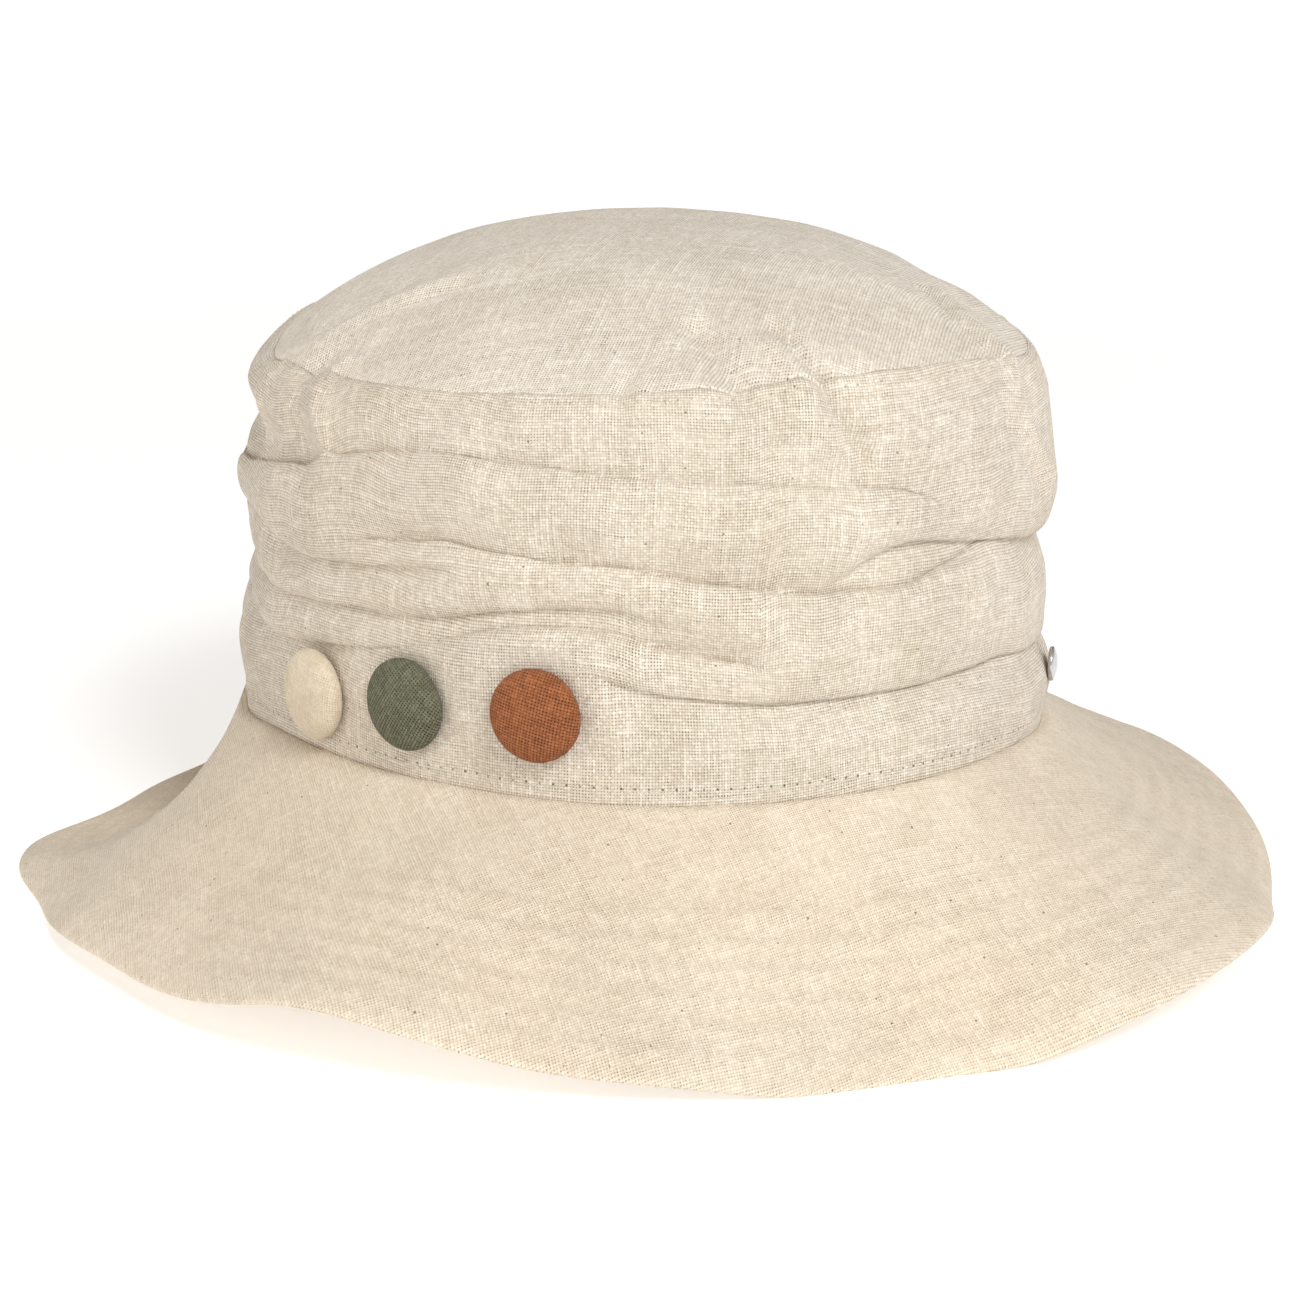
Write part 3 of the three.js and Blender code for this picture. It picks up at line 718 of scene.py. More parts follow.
# %% How far the creases push the cloth
def creased(angle, height):
    """How far the soft creases push the cloth out, at an angle and a height along the crown."""
    total = np.zeros(np.broadcast(angle, height).shape)
    for width, rise, line in CREASES:
        first = line[0][0]
        x = (np.mod(angle - first + 180, 360) - 180) * MM_PER_DEGREE
        nearest = np.full(total.shape, 1e9)
        for (a0, h0), (a1, h1) in zip(line, line[1:]):
            start = np.array([(a0 - first) * MM_PER_DEGREE, h0])
            run = np.array([(a1 - first) * MM_PER_DEGREE, h1]) - start
            share = np.clip(((x - start[0]) * run[0] + (height - start[1]) * run[1]) / (run @ run), 0, 1)
            away = np.hypot(x - start[0] - share * run[0], height - start[1] - share * run[1])
            nearest = np.minimum(nearest, away)
        total += rise * np.exp(-((nearest / width) ** 2))
    return total


# %% A slight unevenness
def rumpled(angle, height, seed, finest, amount):
    """A slight unevenness with no direction of its own, the same each time for one seed."""
    random = np.random.default_rng(seed)
    total = np.zeros(np.broadcast(angle, height).shape)
    for _ in range(70):
        turns = random.integers(3, finest)
        slant = random.normal(0, 1) * turns / 93
        phase = random.uniform(0, 2 * math.pi)
        total += np.cos(np.radians(angle) * turns + height * slant + phase) / math.sqrt(turns)
    return amount * total / total.std()


# %% [markdown]
# ## The side's outer surface
# The grid has a column for each step around the hat and a row for each step up the cloth. The creases and
# the unevenness push it along the way it faces. Behind the top edge the seam allowances lie double, which
# shows as a low step in the cloth.

# %% The side's surface
SIDE_COLUMNS = 400
SIDE_ROWS = 190
ALLOWANCE = 4.6
ALLOWANCE_STEP = 0.36
angle = np.arange(SIDE_COLUMNS) * 360 / SIDE_COLUMNS - 180
height = spread_rows(angle, SIDE_ROWS)
wide_angle = np.broadcast_to(angle, height.shape)
out, level = side_line(wide_angle, height)
x, y = oval(wide_angle, out)
side = np.stack([x, y, level], -1)
from_bottom = height - height[0]
from_top = height[-1] - height
uneven = rumpled(wide_angle, height, seed=4, finest=34, amount=0.22) * np.clip(from_top / 9, 0, 1)
soft = creased(wide_angle, height) + uneven
soft *= np.clip(from_bottom / 6, 0.15, 1)
soft -= joined(wide_angle)
side += normals_of(side) * soft[..., None]
from_step = from_top - ALLOWANCE
step = ALLOWANCE_STEP / (1 + np.exp(from_step / 0.35)) * (1 - np.exp(-((from_step / 0.5) ** 2)))
side += normals_of(side) * (step - rounded(from_bottom, 0.8) - rounded(from_top, 0.42))[..., None]
print(f"the side's surface reaches {side[..., 2].max():.1f} mm above the ground")

# %% [markdown]
# ## Room behind the buttons and the stud
# A button's shank pulls the cloth in, so the cloth lies flat behind it. If the folds ran on unchanged, they
# would cut through the buttons. So every point near a fixing is eased back to just behind its plane.

# %% Where the buttons and the stud sit
# Angle, height above the brim seam and radius.

FIXINGS = {
    "cream": (-81, 11.6, 9.5), "green": (-64.5, 15.2, 9.5), "terracotta": (-46.5, 17.2, 9.5),
    "stud": (43.5, 11.5, 3.75),
}
FIXING_GAP = 0.3


def fixing_frame(name):
    """A button's or the stud's place on the crown: centre, way round the crown, way up and way out."""
    degrees, height, _ = FIXINGS[name]
    near, far = np.array(oval(degrees, FIXING_GAP)), np.array(oval(degrees, FIXING_GAP + 1))
    out = np.array([*(far - near), 0])
    return np.array([*near, SEAM_HEIGHT + height]), np.array([-out[1], out[0], 0]), np.array([0, 0, 1]), out


# %% Press the cloth back behind them
PRESS_SOFTNESS = 0.2

for name, (_, _, radius) in FIXINGS.items():
    centre, _, _, out_way = fixing_frame(name)
    above = (side - centre) @ out_way
    away = np.linalg.norm(side - centre - above[..., None] * out_way, axis=-1)
    limit = -0.12 + 0.1 * np.maximum(away - radius, 0) ** 1.2
    near = np.clip((radius + 9 - away) / 3, 0, 1)
    pressed = near * PRESS_SOFTNESS * np.logaddexp(0, (above - limit) / PRESS_SOFTNESS)
    side -= out_way * pressed[..., None]
    print(f"{name}: the cloth behind is pressed in by up to {pressed.max():.1f} mm")

# %% [markdown]
# ## The side's flat pattern and its mesh
# The weave has to follow the cloth, so a fold must not stretch it. Its map is measured along the cloth,
# through every fold, in millimetres. A second map counts stitches around the hat and millimetres from
# the two seams, and places the needle holes. The inner layer is plain and smooth.

# %% The cloth's length through its folds
steps = np.linalg.norm(np.diff(side, axis=0), axis=-1)
up = np.vstack([np.zeros(SIDE_COLUMNS), np.cumsum(steps, 0)])
for _ in range(14):
    up = (np.roll(up, 1, 1) + 2 * up + np.roll(up, -1, 1)) / 4
print(f"cloth from seam to seam, through the folds: {up[-1].min():.0f} to {up[-1].max():.0f} mm")

# %% The inner layer
LINING_ROWS = 14


def lining(outer, below, above, depth, rows):
    """The inner layer: a few rows from the top edge down to the bottom edge, inside the outer one."""
    shares = np.linspace(1, 0, rows)[:, None, None]
    straight = outer[0] * (1 - shares) + outer[-1] * shares
    centre = np.array([0, 0, 1]) * straight
    inward = centre - straight
    inward /= np.linalg.norm(inward, axis=-1, keepdims=True)
    hollow = np.sin(shares * math.pi) ** 0.5 * depth + CLOTH
    upward = np.array([0, 0, below]) * (1 - shares)
    return straight + inward * hollow + upward - np.array([0, 0, above]) * shares


# %% The side's two maps
BAND_ROW = 4.2
TIP_ROW = 2.8
TIP_SEAM_AT = 200.0


def closed_map(u, v):
    """A UV map from a grid, its last column one turn on from its first."""
    return np.stack([u, np.concatenate([v, v[:, :1]], 1)], -1)


inner = lining(side, below=0.3, above=0.6, depth=5.5, rows=LINING_ROWS)
rows = np.concatenate([side, inner])
turn = (np.arange(SIDE_COLUMNS + 1) * 360 / SIDE_COLUMNS - 180) * MM_PER_DEGREE
inner_up = up[-1] * np.linspace(1, 0, LINING_ROWS)[:, None] + 300
side_up = np.concatenate([up, inner_up, up[:1]])
weave_map = closed_map(np.broadcast_to(turn, (len(side_up), SIDE_COLUMNS + 1)), side_up)
stitch_count = round(2 * turn[-1] / STITCH)
along = np.arange(SIDE_COLUMNS + 1) / SIDE_COLUMNS * stitch_count
from_seams = np.where(up < 40, up, TIP_SEAM_AT + up - up[-1])
from_seams = np.concatenate([from_seams, np.linspace(100, 40, LINING_ROWS)[:, None] + 0 * inner_up, up[:1]])
row_map = closed_map(np.broadcast_to(along, (len(side_up), SIDE_COLUMNS + 1)), from_seams)
print(f"the side is {2 * turn[-1]:.0f} mm around and has {stitch_count} stitches in its lower row")

# %% The side's cloth and mesh
# Each cloth's second colour is the painted shade seen in its holes.
crown_cloth = cloth(
    "crown_cloth", (0.84, 0.77, 0.672), (0.12, 0.07, 0.03), pitch=0.6, fill=0.36, contrast=0.55,
    slub=0.6, fleck=1.0, bump=0.22, doubled=TIP_SEAM_AT - 4.8,
    rows=((BAND_ROW, 300.0, 1, 0.9, 0.65), (TIP_SEAM_AT - TIP_ROW, 300.0, 1, 0.4, 0.0)))
crown_side = ring_mesh("crown_side_cloth", rows, {"weave": weave_map, "rows": row_map}, crown_cloth)
add_piece(crown_side, ["crown_side"])

# %% [markdown]
# ## Stitches
# A row of stitching is a thread that comes up, runs over the cloth for about 2 mm and goes down again.
# From far off a dashed line in the colour would do, but real stitches stand up and have a light and a
# dark side. So each one is a small tube with its ends sunk into the cloth, and its thread is twisted.

# %% Twisted cotton thread
def sewing_thread(name, color):
    """Twisted cotton thread, a little smoother than the cloth, with painted shade in its twist's grooves.
    """
    s = Shader(bpy.data.materials.new(name))
    along, round_it = s.place("twist")
    turns = s.math("ADD", s.math("MULTIPLY", along, 14.0), s.math("MULTIPLY", round_it, 6.2832))
    ply = s.ramp(s.math("SINE", turns), -1.0, 1.0)
    # Painted shade: the thread is darker in the grooves between its plies, where the bump is low.
    tone = s.ramp(ply, 0.0, 1.0, 0.82, 1.0)
    tinted = s.mix(1.0, (*color, 1), s.vector(tone, tone, tone), "MULTIPLY")
    raised = s.add("ShaderNodeBump", {"Strength": 1.0, "Distance": 0.04 * MM, "Height": ply})
    surface = s.add("ShaderNodeBsdfPrincipled", {
        "Base Color": tinted, "Normal": raised.outputs[0], "Roughness": 0.75,
        "Specular IOR Level": 0.3, "Sheen Weight": 0.2,
    })
    s.add("ShaderNodeOutputMaterial", {"Surface": surface.outputs[0]})
    return s.material


# %% Many short threads as one mesh
THREAD_SIDES = 6
THREAD_RINGS = 5


def thread_points(points, outward, count, radius, random):
    """Points of the stitches on one curve that closes around the hat, ring by ring along each stitch."""
    t = np.linspace(-1, 1, THREAD_RINGS)[None, :, None, None]
    around_thread = np.arange(THREAD_SIDES) * 2 * math.pi / THREAD_SIDES
    columns = len(points)
    place = np.arange(count) / count * columns
    i = place.astype(int) % columns
    f = (place - place.astype(int))[:, None]
    middle = points[i] * (1 - f) + points[(i + 1) % columns] * f
    way = points[(i + 2) % columns] - points[i - 1]
    way /= np.linalg.norm(way, axis=1, keepdims=True)
    out = outward[i] / np.linalg.norm(outward[i], axis=1, keepdims=True)
    beside = np.cross(way, out)
    way = way + beside * random.normal(0, 0.05, (count, 1))
    length = np.linalg.norm(np.roll(points, -1, 0) - points, axis=1).sum()
    half = length / count * random.uniform(0.38, 0.43, (count, 1, 1, 1))
    thick = radius * np.sqrt(1 - (0.96 * t) ** 2)
    line = middle[:, None, None] + way[:, None, None] * half * t
    line = line + out[:, None, None] * radius * (0.75 - 1.6 * t**2)
    ring = (out[:, None, None] * np.cos(around_thread)[None, None, :, None]
            + beside[:, None, None] * np.sin(around_thread)[None, None, :, None])
    return (line + ring * thick).reshape(-1, THREAD_SIDES * THREAD_RINGS, 3)


def stitches(name, curves, radius, material):
    """Rows of separate stitches as one mesh, each a short thread that dips into the cloth at both ends.
    Each curve is closed around the hat: its points, its outward directions and its number of stitches."""
    random = np.random.default_rng(11)
    points = np.concatenate([thread_points(*curve, radius, random) for curve in curves])
    total = len(points)
    points = (points.reshape(-1, 3) + AXIS) * MM
    r, k = np.meshgrid(np.arange(THREAD_RINGS - 1), np.arange(THREAD_SIDES), indexing="ij")
    after = (k + 1) % THREAD_SIDES
    one = np.stack([r * THREAD_SIDES + k, (r + 1) * THREAD_SIDES + k,
                    (r + 1) * THREAD_SIDES + after, r * THREAD_SIDES + after], -1).reshape(-1, 4)
    corners = (one[None] + np.arange(total)[:, None, None] * THREAD_SIDES * THREAD_RINGS).reshape(-1, 4)
    twist = np.stack([np.stack([r, k], -1), np.stack([r + 1, k], -1),
                      np.stack([r + 1, k + 1], -1), np.stack([r, k + 1], -1)], 2)
    twist = twist / np.array([THREAD_RINGS - 1, THREAD_SIDES])
    print(f"{name}: {total} stitches")
    return quad_mesh(name, points, corners, {"twist": np.tile(twist.reshape(-1), total)}, material)


# %% A line on a grid of cloth
def line_on(grid, distances, wanted):
    """The line on a grid of cloth at a distance along its columns: its points and outward directions."""
    def along_column(values, c):
        return [np.interp(wanted, distances[:, c], values[:, c, k]) for k in range(3)]

    columns = range(grid.shape[1])
    return [np.array([along_column(values, c) for c in columns]) for values in (grid, normals_of(grid))]


# %% The side's two rows of stitches
TIP_ROW_STITCHES = 204
crown_thread = sewing_thread("crown_thread", (0.82, 0.76, 0.65))
band_line = line_on(side, up, BAND_ROW)
tip_line = line_on(side, up - up[-1], -TIP_ROW)
side_rows = [(*band_line, stitch_count), (*tip_line, TIP_ROW_STITCHES)]
side_stitches = stitches("crown_side_stitches", side_rows, 0.15, crown_thread)
add_piece(side_stitches, [])

# %% [markdown]
# ## Crown top
# The tip is an oval panel, cut on the bias so that it takes the head's dome without darts. Its weave
# therefore runs at 45 degrees to the front. It could be a squashed sphere, but the real panel is nearly
# flat in the middle, leans to one side and falls away to a seam that isn't level. So it is built from
# rings that shrink from its seam to its middle. Some of the side's creases run on over it.

# %% The tip's surface
TIP_COLUMNS = 320
TIP_RINGS = 96
TIP_EDGE_RINGS = 40
TIP_RISE = 22.3
TIP_LEAN = 8
TIP_FULLNESS = 2.4
MEAN_SEAM = SEAM_HEIGHT + SIDE_HEIGHT
angle = np.arange(TIP_COLUMNS) * 360 / TIP_COLUMNS
share = np.concatenate([1 - np.linspace(0, 1, TIP_EDGE_RINGS, endpoint=False) ** 1.3 * 0.12,
                        np.linspace(0.88, 0.01, TIP_RINGS - TIP_EDGE_RINGS)])[:, None]
wide_angle = np.broadcast_to(angle, (TIP_RINGS, TIP_COLUMNS))
edge_x, edge_y = oval(wide_angle, -around(TIP_SEAM, 2, wide_angle))
seam_wave = (tip_seam_height(wide_angle) - MEAN_SEAM) * share**2
dome = MEAN_SEAM + seam_wave + TIP_RISE * (1 - share**TIP_FULLNESS)
tip = np.stack([edge_x * share + TIP_LEAN * (1 - share), edge_y * share, dome], -1)
inset = (1 - share) * (HEAD_LENGTH + HEAD_WIDTH) / 4
soft = creased(wide_angle, 80 + inset * 1.05)
uneven = rumpled(wide_angle, 80 + inset, seed=9, finest=16, amount=0.3)
soft = soft + uneven * np.clip(inset / 12, 0, 1)
soft = soft * np.clip((share - 0.12) * 1.8, 0, 1) ** 2
tip += normals_of(tip) * soft[..., None]
tip -= normals_of(tip) * rounded(inset, 0.35)[..., None]
print(f"the tip's top is {tip[..., 2].max():.1f} mm above the ground")

# %% The tip's turned edge, inner layer and mesh
turned = tip[0] * np.array([0.99, 0.99, 1]) - np.array([0, 0, 2.2])
inner_share = np.linspace(0.97, 0.01, LINING_ROWS)[:, None]
inner_dome = MEAN_SEAM + TIP_RISE * (1 - inner_share**TIP_FULLNESS) - CLOTH - 1
inner_tip = np.stack([edge_x[0] * inner_share * 0.985, edge_y[0] * inner_share * 0.985,
                      inner_dome + 0 * edge_x[0]], -1)
inner_tip[0, :, 2] = turned[:, 2]
centre = np.broadcast_to(tip[-1].mean(0), (1, TIP_COLUMNS, 3))
inner_centre = np.broadcast_to(inner_tip[-1].mean(0), (1, TIP_COLUMNS, 3))
rows = np.concatenate([inner_centre, inner_tip[::-1], turned[None], tip, centre])
flat = np.stack([rows[..., 0] - rows[..., 1], rows[..., 0] + rows[..., 1]], -1) / math.sqrt(2)
flat = np.concatenate([flat, flat[:, :1]], 1)
tip_cloth = cloth("tip_cloth", (0.95, 0.885, 0.79), (0.12, 0.07, 0.03), pitch=0.6, fill=0.365,
                  contrast=0.48, slub=0.6, fleck=0.8, bump=0.2)
crown_top = ring_mesh("crown_top_cloth", rows, {"weave": flat, "rows": flat}, tip_cloth)
add_piece(crown_top, ["crown_top"])

# %% [markdown]
# ## Brim
# The brim is a ring of close-woven cloth, two layers over an interlining, stitched round in rings so that
# it keeps its flare. Cut flat it closes into a cone, and where it is pulled in or pushed up, its edge has
# length to spare and stands in waves. Each wave below has a place, a spread and what it does to the edge.

# %% The brim's waves
# Angle, spread in degrees, lift of the edge, pull of the edge towards the crown, sag between seam and edge.
BRIM_WAVES = np.array([
    [-148, 28, 0, 24, 0], [-138, 30, 0, 0, 13], [-137, 7, 0, -2.5, 0], [-129, 7, 0, 2.5, 0],
    [-124, 5, 0, 2, 0], [-118, 12, 0, -8, 3], [-109, 6, 0, -1.2, 0], [-98, 13, 0, 3, 0],
    [-84, 21, 10, 0, 0], [-80, 8, 0, 2, 0], [-53, 14.5, 17.2, 0, 0], [-50, 5, -1, 0, 0], [-29, 13, 6, 0, 0],
    [-8, 12, -3, -1, 0], [21, 22, 13, 0, 0], [40, 16, 0.8, 5, 0], [72, 20, 1.2, 1, 0],
    [85, 30, 13, 1, 0], [180, 22, 8, 2, 0],
])


def edge_wave(degrees, column):
    """What the brim's waves do to its edge: the sum of their lift (column 2) or pull (column 3)."""
    away = np.mod(degrees[..., None] - BRIM_WAVES[:, 0] + 180, 360) - 180
    return (BRIM_WAVES[:, column] * np.exp(-((away / BRIM_WAVES[:, 1]) ** 2))).sum(-1)


# %% The brim from seam to edge
BRIM_WIDTH = 65.5
BRIM_DROP = 43.5
WAVE_GROWTH = 1.6
FLARE = 0.55
SETTLE = 0.5
LINE_GROUND = 0.3
EDGE_HEIGHT = 0.6


def settled(height, ground):
    """Heights eased up where they would go below the ground."""
    return ground + SETTLE * np.logaddexp(0, (height - ground) / SETTLE)


def bend_near_seam(share):
    """A bend between seam and edge that reaches 1 at a third of the way from the seam."""
    return 6.75 * share * (1 - share) ** 2


def brim_line(degrees, share):
    """The brim's upper side at a share of its width from the seam: its distance out and its height.
    Where the ground holds the edge up, the brim flares out towards it."""
    lift = edge_wave(degrees, 2)
    reach = np.sqrt(BRIM_WIDTH**2 - (BRIM_DROP - lift) ** 2) - edge_wave(degrees, 3)
    seam = seam_height(degrees)
    fall = BRIM_DROP - lift - around(BRIM_SEAM, 2, degrees)
    held_up = settled(seam - fall, EDGE_HEIGHT) - (seam - fall)
    fall = fall - held_up
    flare = FLARE * held_up * bend_near_seam(1 - share)
    curl = np.maximum(lift, 0) * (share - share**WAVE_GROWTH)
    sag = edge_wave(degrees, 4) * bend_near_seam(share)
    start = around(SEAM_OUT, 1, degrees)
    height = settled(seam - fall * share - curl - sag - flare, LINE_GROUND)
    return start + (reach - start) * share, height


# %% [markdown]
# ## The brim's cloth
# The cloth puffs slightly between its stitch rings, and the outer edge is turned in and pressed thin. A
# displacement map could raise the puffs, but only the mesh itself shows at the edge and in the shadows.
# So they are in the mesh, and the brim lies flat only where it meets the ground.

# %% The brim's upper side
BRIM_COLUMNS = 480
BRIM_ROWS = 130
EDGE_ROWS = 10
BRIM_CLOTH = 2.0
EDGE_CLOTH = 1.0
RING_FROM_EDGE = 6.5
RING_SPACING = 6.6
RING_COUNT = 6
PUFF = 0.5
# One soft ridge that runs down the brim: its angle, its width in degrees and its rise.
RIDGE = (-36.5, 2.2, 0.55)


def brim_surface(angle, share):
    """The brim's upper side with its puffed rings, one soft ridge and a thin edge, and its directions.
    At the very edge the thin cloth lies half above its line and half below."""
    out, height = brim_line(angle, share)
    x, y = oval(angle, out)
    points = np.stack([x, y, height], -1)
    direction = normals_of(points)
    from_edge = (1 - share) * BRIM_WIDTH
    ring = (from_edge - RING_FROM_EDGE) / RING_SPACING
    near = np.abs(ring - np.clip(np.round(ring), 0, RING_COUNT - 1)) * RING_SPACING
    puff = PUFF * (1 - np.exp(-((near / 1.1) ** 2)))
    ridge_angle, ridge_width, ridge_rise = RIDGE
    ridge = np.exp(-(((angle - ridge_angle + 3 * share) / ridge_width) ** 2)) * ridge_rise
    ridge = ridge * np.clip(share * 3, 0, 1) * np.clip((1.02 - share) * 4, 0, 1)
    uneven = rumpled(angle, from_edge, seed=17, finest=26, amount=0.16) * np.clip(share * 5, 0, 1)
    above = EDGE_CLOTH / 2 * np.exp(-from_edge / 3)
    return points + direction * (puff + ridge + uneven + above - joined(angle))[..., None], direction


# %% The brim's two sides
angle = np.arange(BRIM_COLUMNS) * 360 / BRIM_COLUMNS - 180
share = np.concatenate([np.linspace(0, 0.985, BRIM_ROWS - EDGE_ROWS, endpoint=False),
                        1 - np.linspace(1, 0, EDGE_ROWS) ** 2 * 0.015])[:, None]
wide_angle = np.broadcast_to(angle, (BRIM_ROWS, BRIM_COLUMNS))
wide_share = np.broadcast_to(share, wide_angle.shape)
surface, direction = brim_surface(wide_angle, wide_share)
from_edge = (1 - wide_share) * BRIM_WIDTH
edge_round = rounded(from_edge, EDGE_CLOTH / 2)
thick = EDGE_CLOTH + (BRIM_CLOTH - EDGE_CLOTH) * (1 - np.exp(-from_edge / 3))
brim = surface - direction * edge_round[..., None]
brim[..., 2] = np.maximum(brim[..., 2], 0.05)
under = surface - direction * (thick - edge_round)[..., None]
under[..., 2] = np.maximum(under[..., 2], 0)
under = under[::-3]

# The top edge tucks up behind the band above it.
tuck = brim[0] * np.array([0.985, 0.985, 1]) + np.array([0, 0, 0.6])
rows = np.concatenate([under, tuck[None], brim])[::-1]
edge_level = brim[-1, :, 2]
print(f"the brim's edge rises and dips between {edge_level.min():.1f} and {edge_level.max():.1f} mm")

# %% [markdown]
# ## The brim's flat pattern and stitch rings
# The ring was cut flat, and closes into a cone: its flat angle is smaller than its turn around the hat.
# The weave runs straight over that flat ring, so on the hat it meets the edge at every angle, as it
# does on the real brim. A longer ring has more stitches of the same length.

# %% The flat ring
FLAT_TURN = 0.753
FLAT_RADIUS = 123.9
TUCK_LENGTH = 1.4
EDGE_TURN = 0.4
steps = np.linalg.norm(np.diff(brim, axis=0), axis=-1).mean(1)
from_seam = np.append(0, np.cumsum(steps))

# Every row's place on the flat ring: the edge's turn, the underside inwards, the tuck, the top outwards.
layout = [from_seam[-1:] + EDGE_TURN, from_seam[::-3], from_seam[:1] - TUCK_LENGTH, from_seam]
layout = np.concatenate(layout)[::-1, None]
turns = np.arange(-BRIM_COLUMNS // 2, BRIM_COLUMNS // 2 + 1) / BRIM_COLUMNS
flat_angle = np.radians(turns * 360) * FLAT_TURN
radius = FLAT_RADIUS + layout
flat = np.stack([radius * np.sin(flat_angle), radius * np.cos(flat_angle)], -1)
print(f"cut flat, the ring spans {360 * FLAT_TURN:.0f} degrees and reaches {radius.max():.0f} mm out")

# %% The rings of stitches
down = BRIM_WIDTH - layout
ring_places = RING_FROM_EDGE + RING_SPACING * np.arange(RING_COUNT)
ring_lines = [line_on(brim, -from_edge, -place) for place in ring_places]
ring_lengths = [np.linalg.norm(np.roll(line, -1, 0) - line, axis=1).sum() for line, _ in ring_lines]
ring_counts = np.array([round(length / STITCH) for length in ring_lengths])
nearest = np.clip(np.round((down - RING_FROM_EDGE) / RING_SPACING), 0, RING_COUNT - 1).astype(int)
along = np.arange(BRIM_COLUMNS + 1) / BRIM_COLUMNS * ring_counts[nearest]
row_map = np.stack([along, np.broadcast_to(down, along.shape)], -1)

# %% The brim's mesh and stitches
brim_cloth = cloth(
    "brim_cloth", (0.885, 0.78, 0.64), (0.22, 0.15, 0.08), pitch=0.55, fill=0.4, contrast=0.38,
    slub=0.4, fleck=1.0, bump=0.17, rows=((RING_FROM_EDGE, RING_SPACING, RING_COUNT, 0.24, 0.0),))
brim_thread = sewing_thread("brim_thread", (0.85, 0.75, 0.6))
brim_piece = ring_mesh("brim_cloth", rows, {"weave": flat, "rows": row_map}, brim_cloth)
add_piece(brim_piece, ["brim"])
curves = [(*line, count) for line, count in zip(ring_lines, ring_counts)]
brim_stitches = stitches("brim_stitches", curves, 0.14, brim_thread)
add_piece(brim_stitches, [])

# %% [markdown]
# ## Covered buttons
# Each button is a metal shell with a disc of cloth drawn over it and gathered in behind the rim, so the
# weave runs straight over the dome and small puckers show only at the edge. A scaled sphere would have no
# rim. So the button's outline is turned around its middle: a flat back, a rolled rim and a low dome.

# %% A covered button
BUTTON_HEIGHT = 5.4
BUTTON_RIM = 2.0
BUTTON_ROLL = 2.2
BUTTON_COLUMNS = 120


def covered_button(name, turn, flattened, seed, material):
    """A cloth-covered button. turn is its weave's slant, flattened how much one side is drawn in."""
    centre, sideways, upward, out_way = fixing_frame(name)
    radius = FIXINGS[name][2]
    bend = np.linspace(0, math.pi / 2, 8)[1:]
    dome = np.linspace(0, math.pi / 2, 30)[1:]
    flat_back = np.linspace(0.02, 1, 5) * (radius - BUTTON_ROLL)
    r = np.concatenate([flat_back, radius - BUTTON_ROLL * (1 - np.sin(bend)), radius * np.cos(dome) ** 0.8])
    w = np.concatenate([0 * flat_back, BUTTON_RIM * (1 - np.cos(bend)),
                        BUTTON_RIM + (BUTTON_HEIGHT - BUTTON_RIM) * np.sin(dome) ** 0.9])
    r, w = r[:, None], w[:, None]
    a = np.arange(BUTTON_COLUMNS) * 2 * math.pi / BUTTON_COLUMNS
    random = np.random.default_rng(seed)
    pucker = sum(random.uniform(0.4, 1) * np.cos(n * a + random.uniform(0, 6.3)) for n in (17, 22, 26, 31))
    at_rim = np.exp(-(((w - 1.2) / 1.5) ** 2)) * (r > radius / 2)
    wide = r * (1 + 0.0035 * pucker * at_rim)
    from_flat = np.mod(a - 0.6 + math.pi, 2 * math.pi) - math.pi
    wide = wide * (1 - flattened * np.exp(-((from_flat / 0.42) ** 2)))
    u, v = wide * np.cos(a), wide * np.sin(a)
    points = centre + u[..., None] * sideways + v[..., None] * upward + (w + 0 * u)[..., None] * out_way
    steps = np.hypot(np.diff(r, axis=0), np.diff(w, axis=0))
    far = np.concatenate([np.cumsum(steps[::-1], 0)[::-1], [[0]]]) + r[-1]
    a = np.append(a, 2 * math.pi) + math.radians(turn)
    flat = np.stack([far * np.cos(a), far * np.sin(a)], -1)
    button = ring_mesh(f"button_{name}_cloth", points, {"weave": flat, "rows": flat}, material)
    add_piece(button, [f"button_{name}"])


# %% [markdown]
# ## The buttons' cloths
# The cream button has nearly the brim's cloth. The green and the terracotta ones have a coarser cloth of
# dyed yarn with no husk, and deep painted shade between their threads, so their weave shows more.

# %% The three buttons
cream_cloth = cloth("cream_cloth", (0.78, 0.68, 0.53), (0.3, 0.21, 0.12), pitch=0.55, fill=0.42,
                    contrast=0.34, slub=0.2, fleck=0.3, bump=0.14)
# Near-black hole colours and full contrast: deep painted shade between the dyed threads.
green_cloth = cloth("green_cloth", (0.2, 0.208, 0.142), (0.01, 0.012, 0.008), pitch=0.64, fill=0.375,
                    contrast=1.0, slub=0.3, fleck=0.0, bump=0.42, sheen=0.06)
terracotta_cloth = cloth("terracotta_cloth", (0.435, 0.154, 0.061), (0.05, 0.012, 0.004), pitch=0.64,
                         fill=0.375, contrast=0.96, slub=0.3, fleck=0.0, bump=0.42, sheen=0.06)
covered_button("cream", turn=8, flattened=0.0, seed=3, material=cream_cloth)
covered_button("green", turn=38, flattened=0.05, seed=5, material=green_cloth)
covered_button("terracotta", turn=14, flattened=0.01, seed=8, material=terracotta_cloth)

# %% [markdown]
# ## Metal stud
# A small plain polished cap on a thin rim, riveted through the band at the wearer's left. Its outline is
# turned around its middle like a button's. Bare metal shows the room, so its roughness is low and uneven:
# faint rings from the lathe and a few hairline scratches keep it from looking like a drop of water.

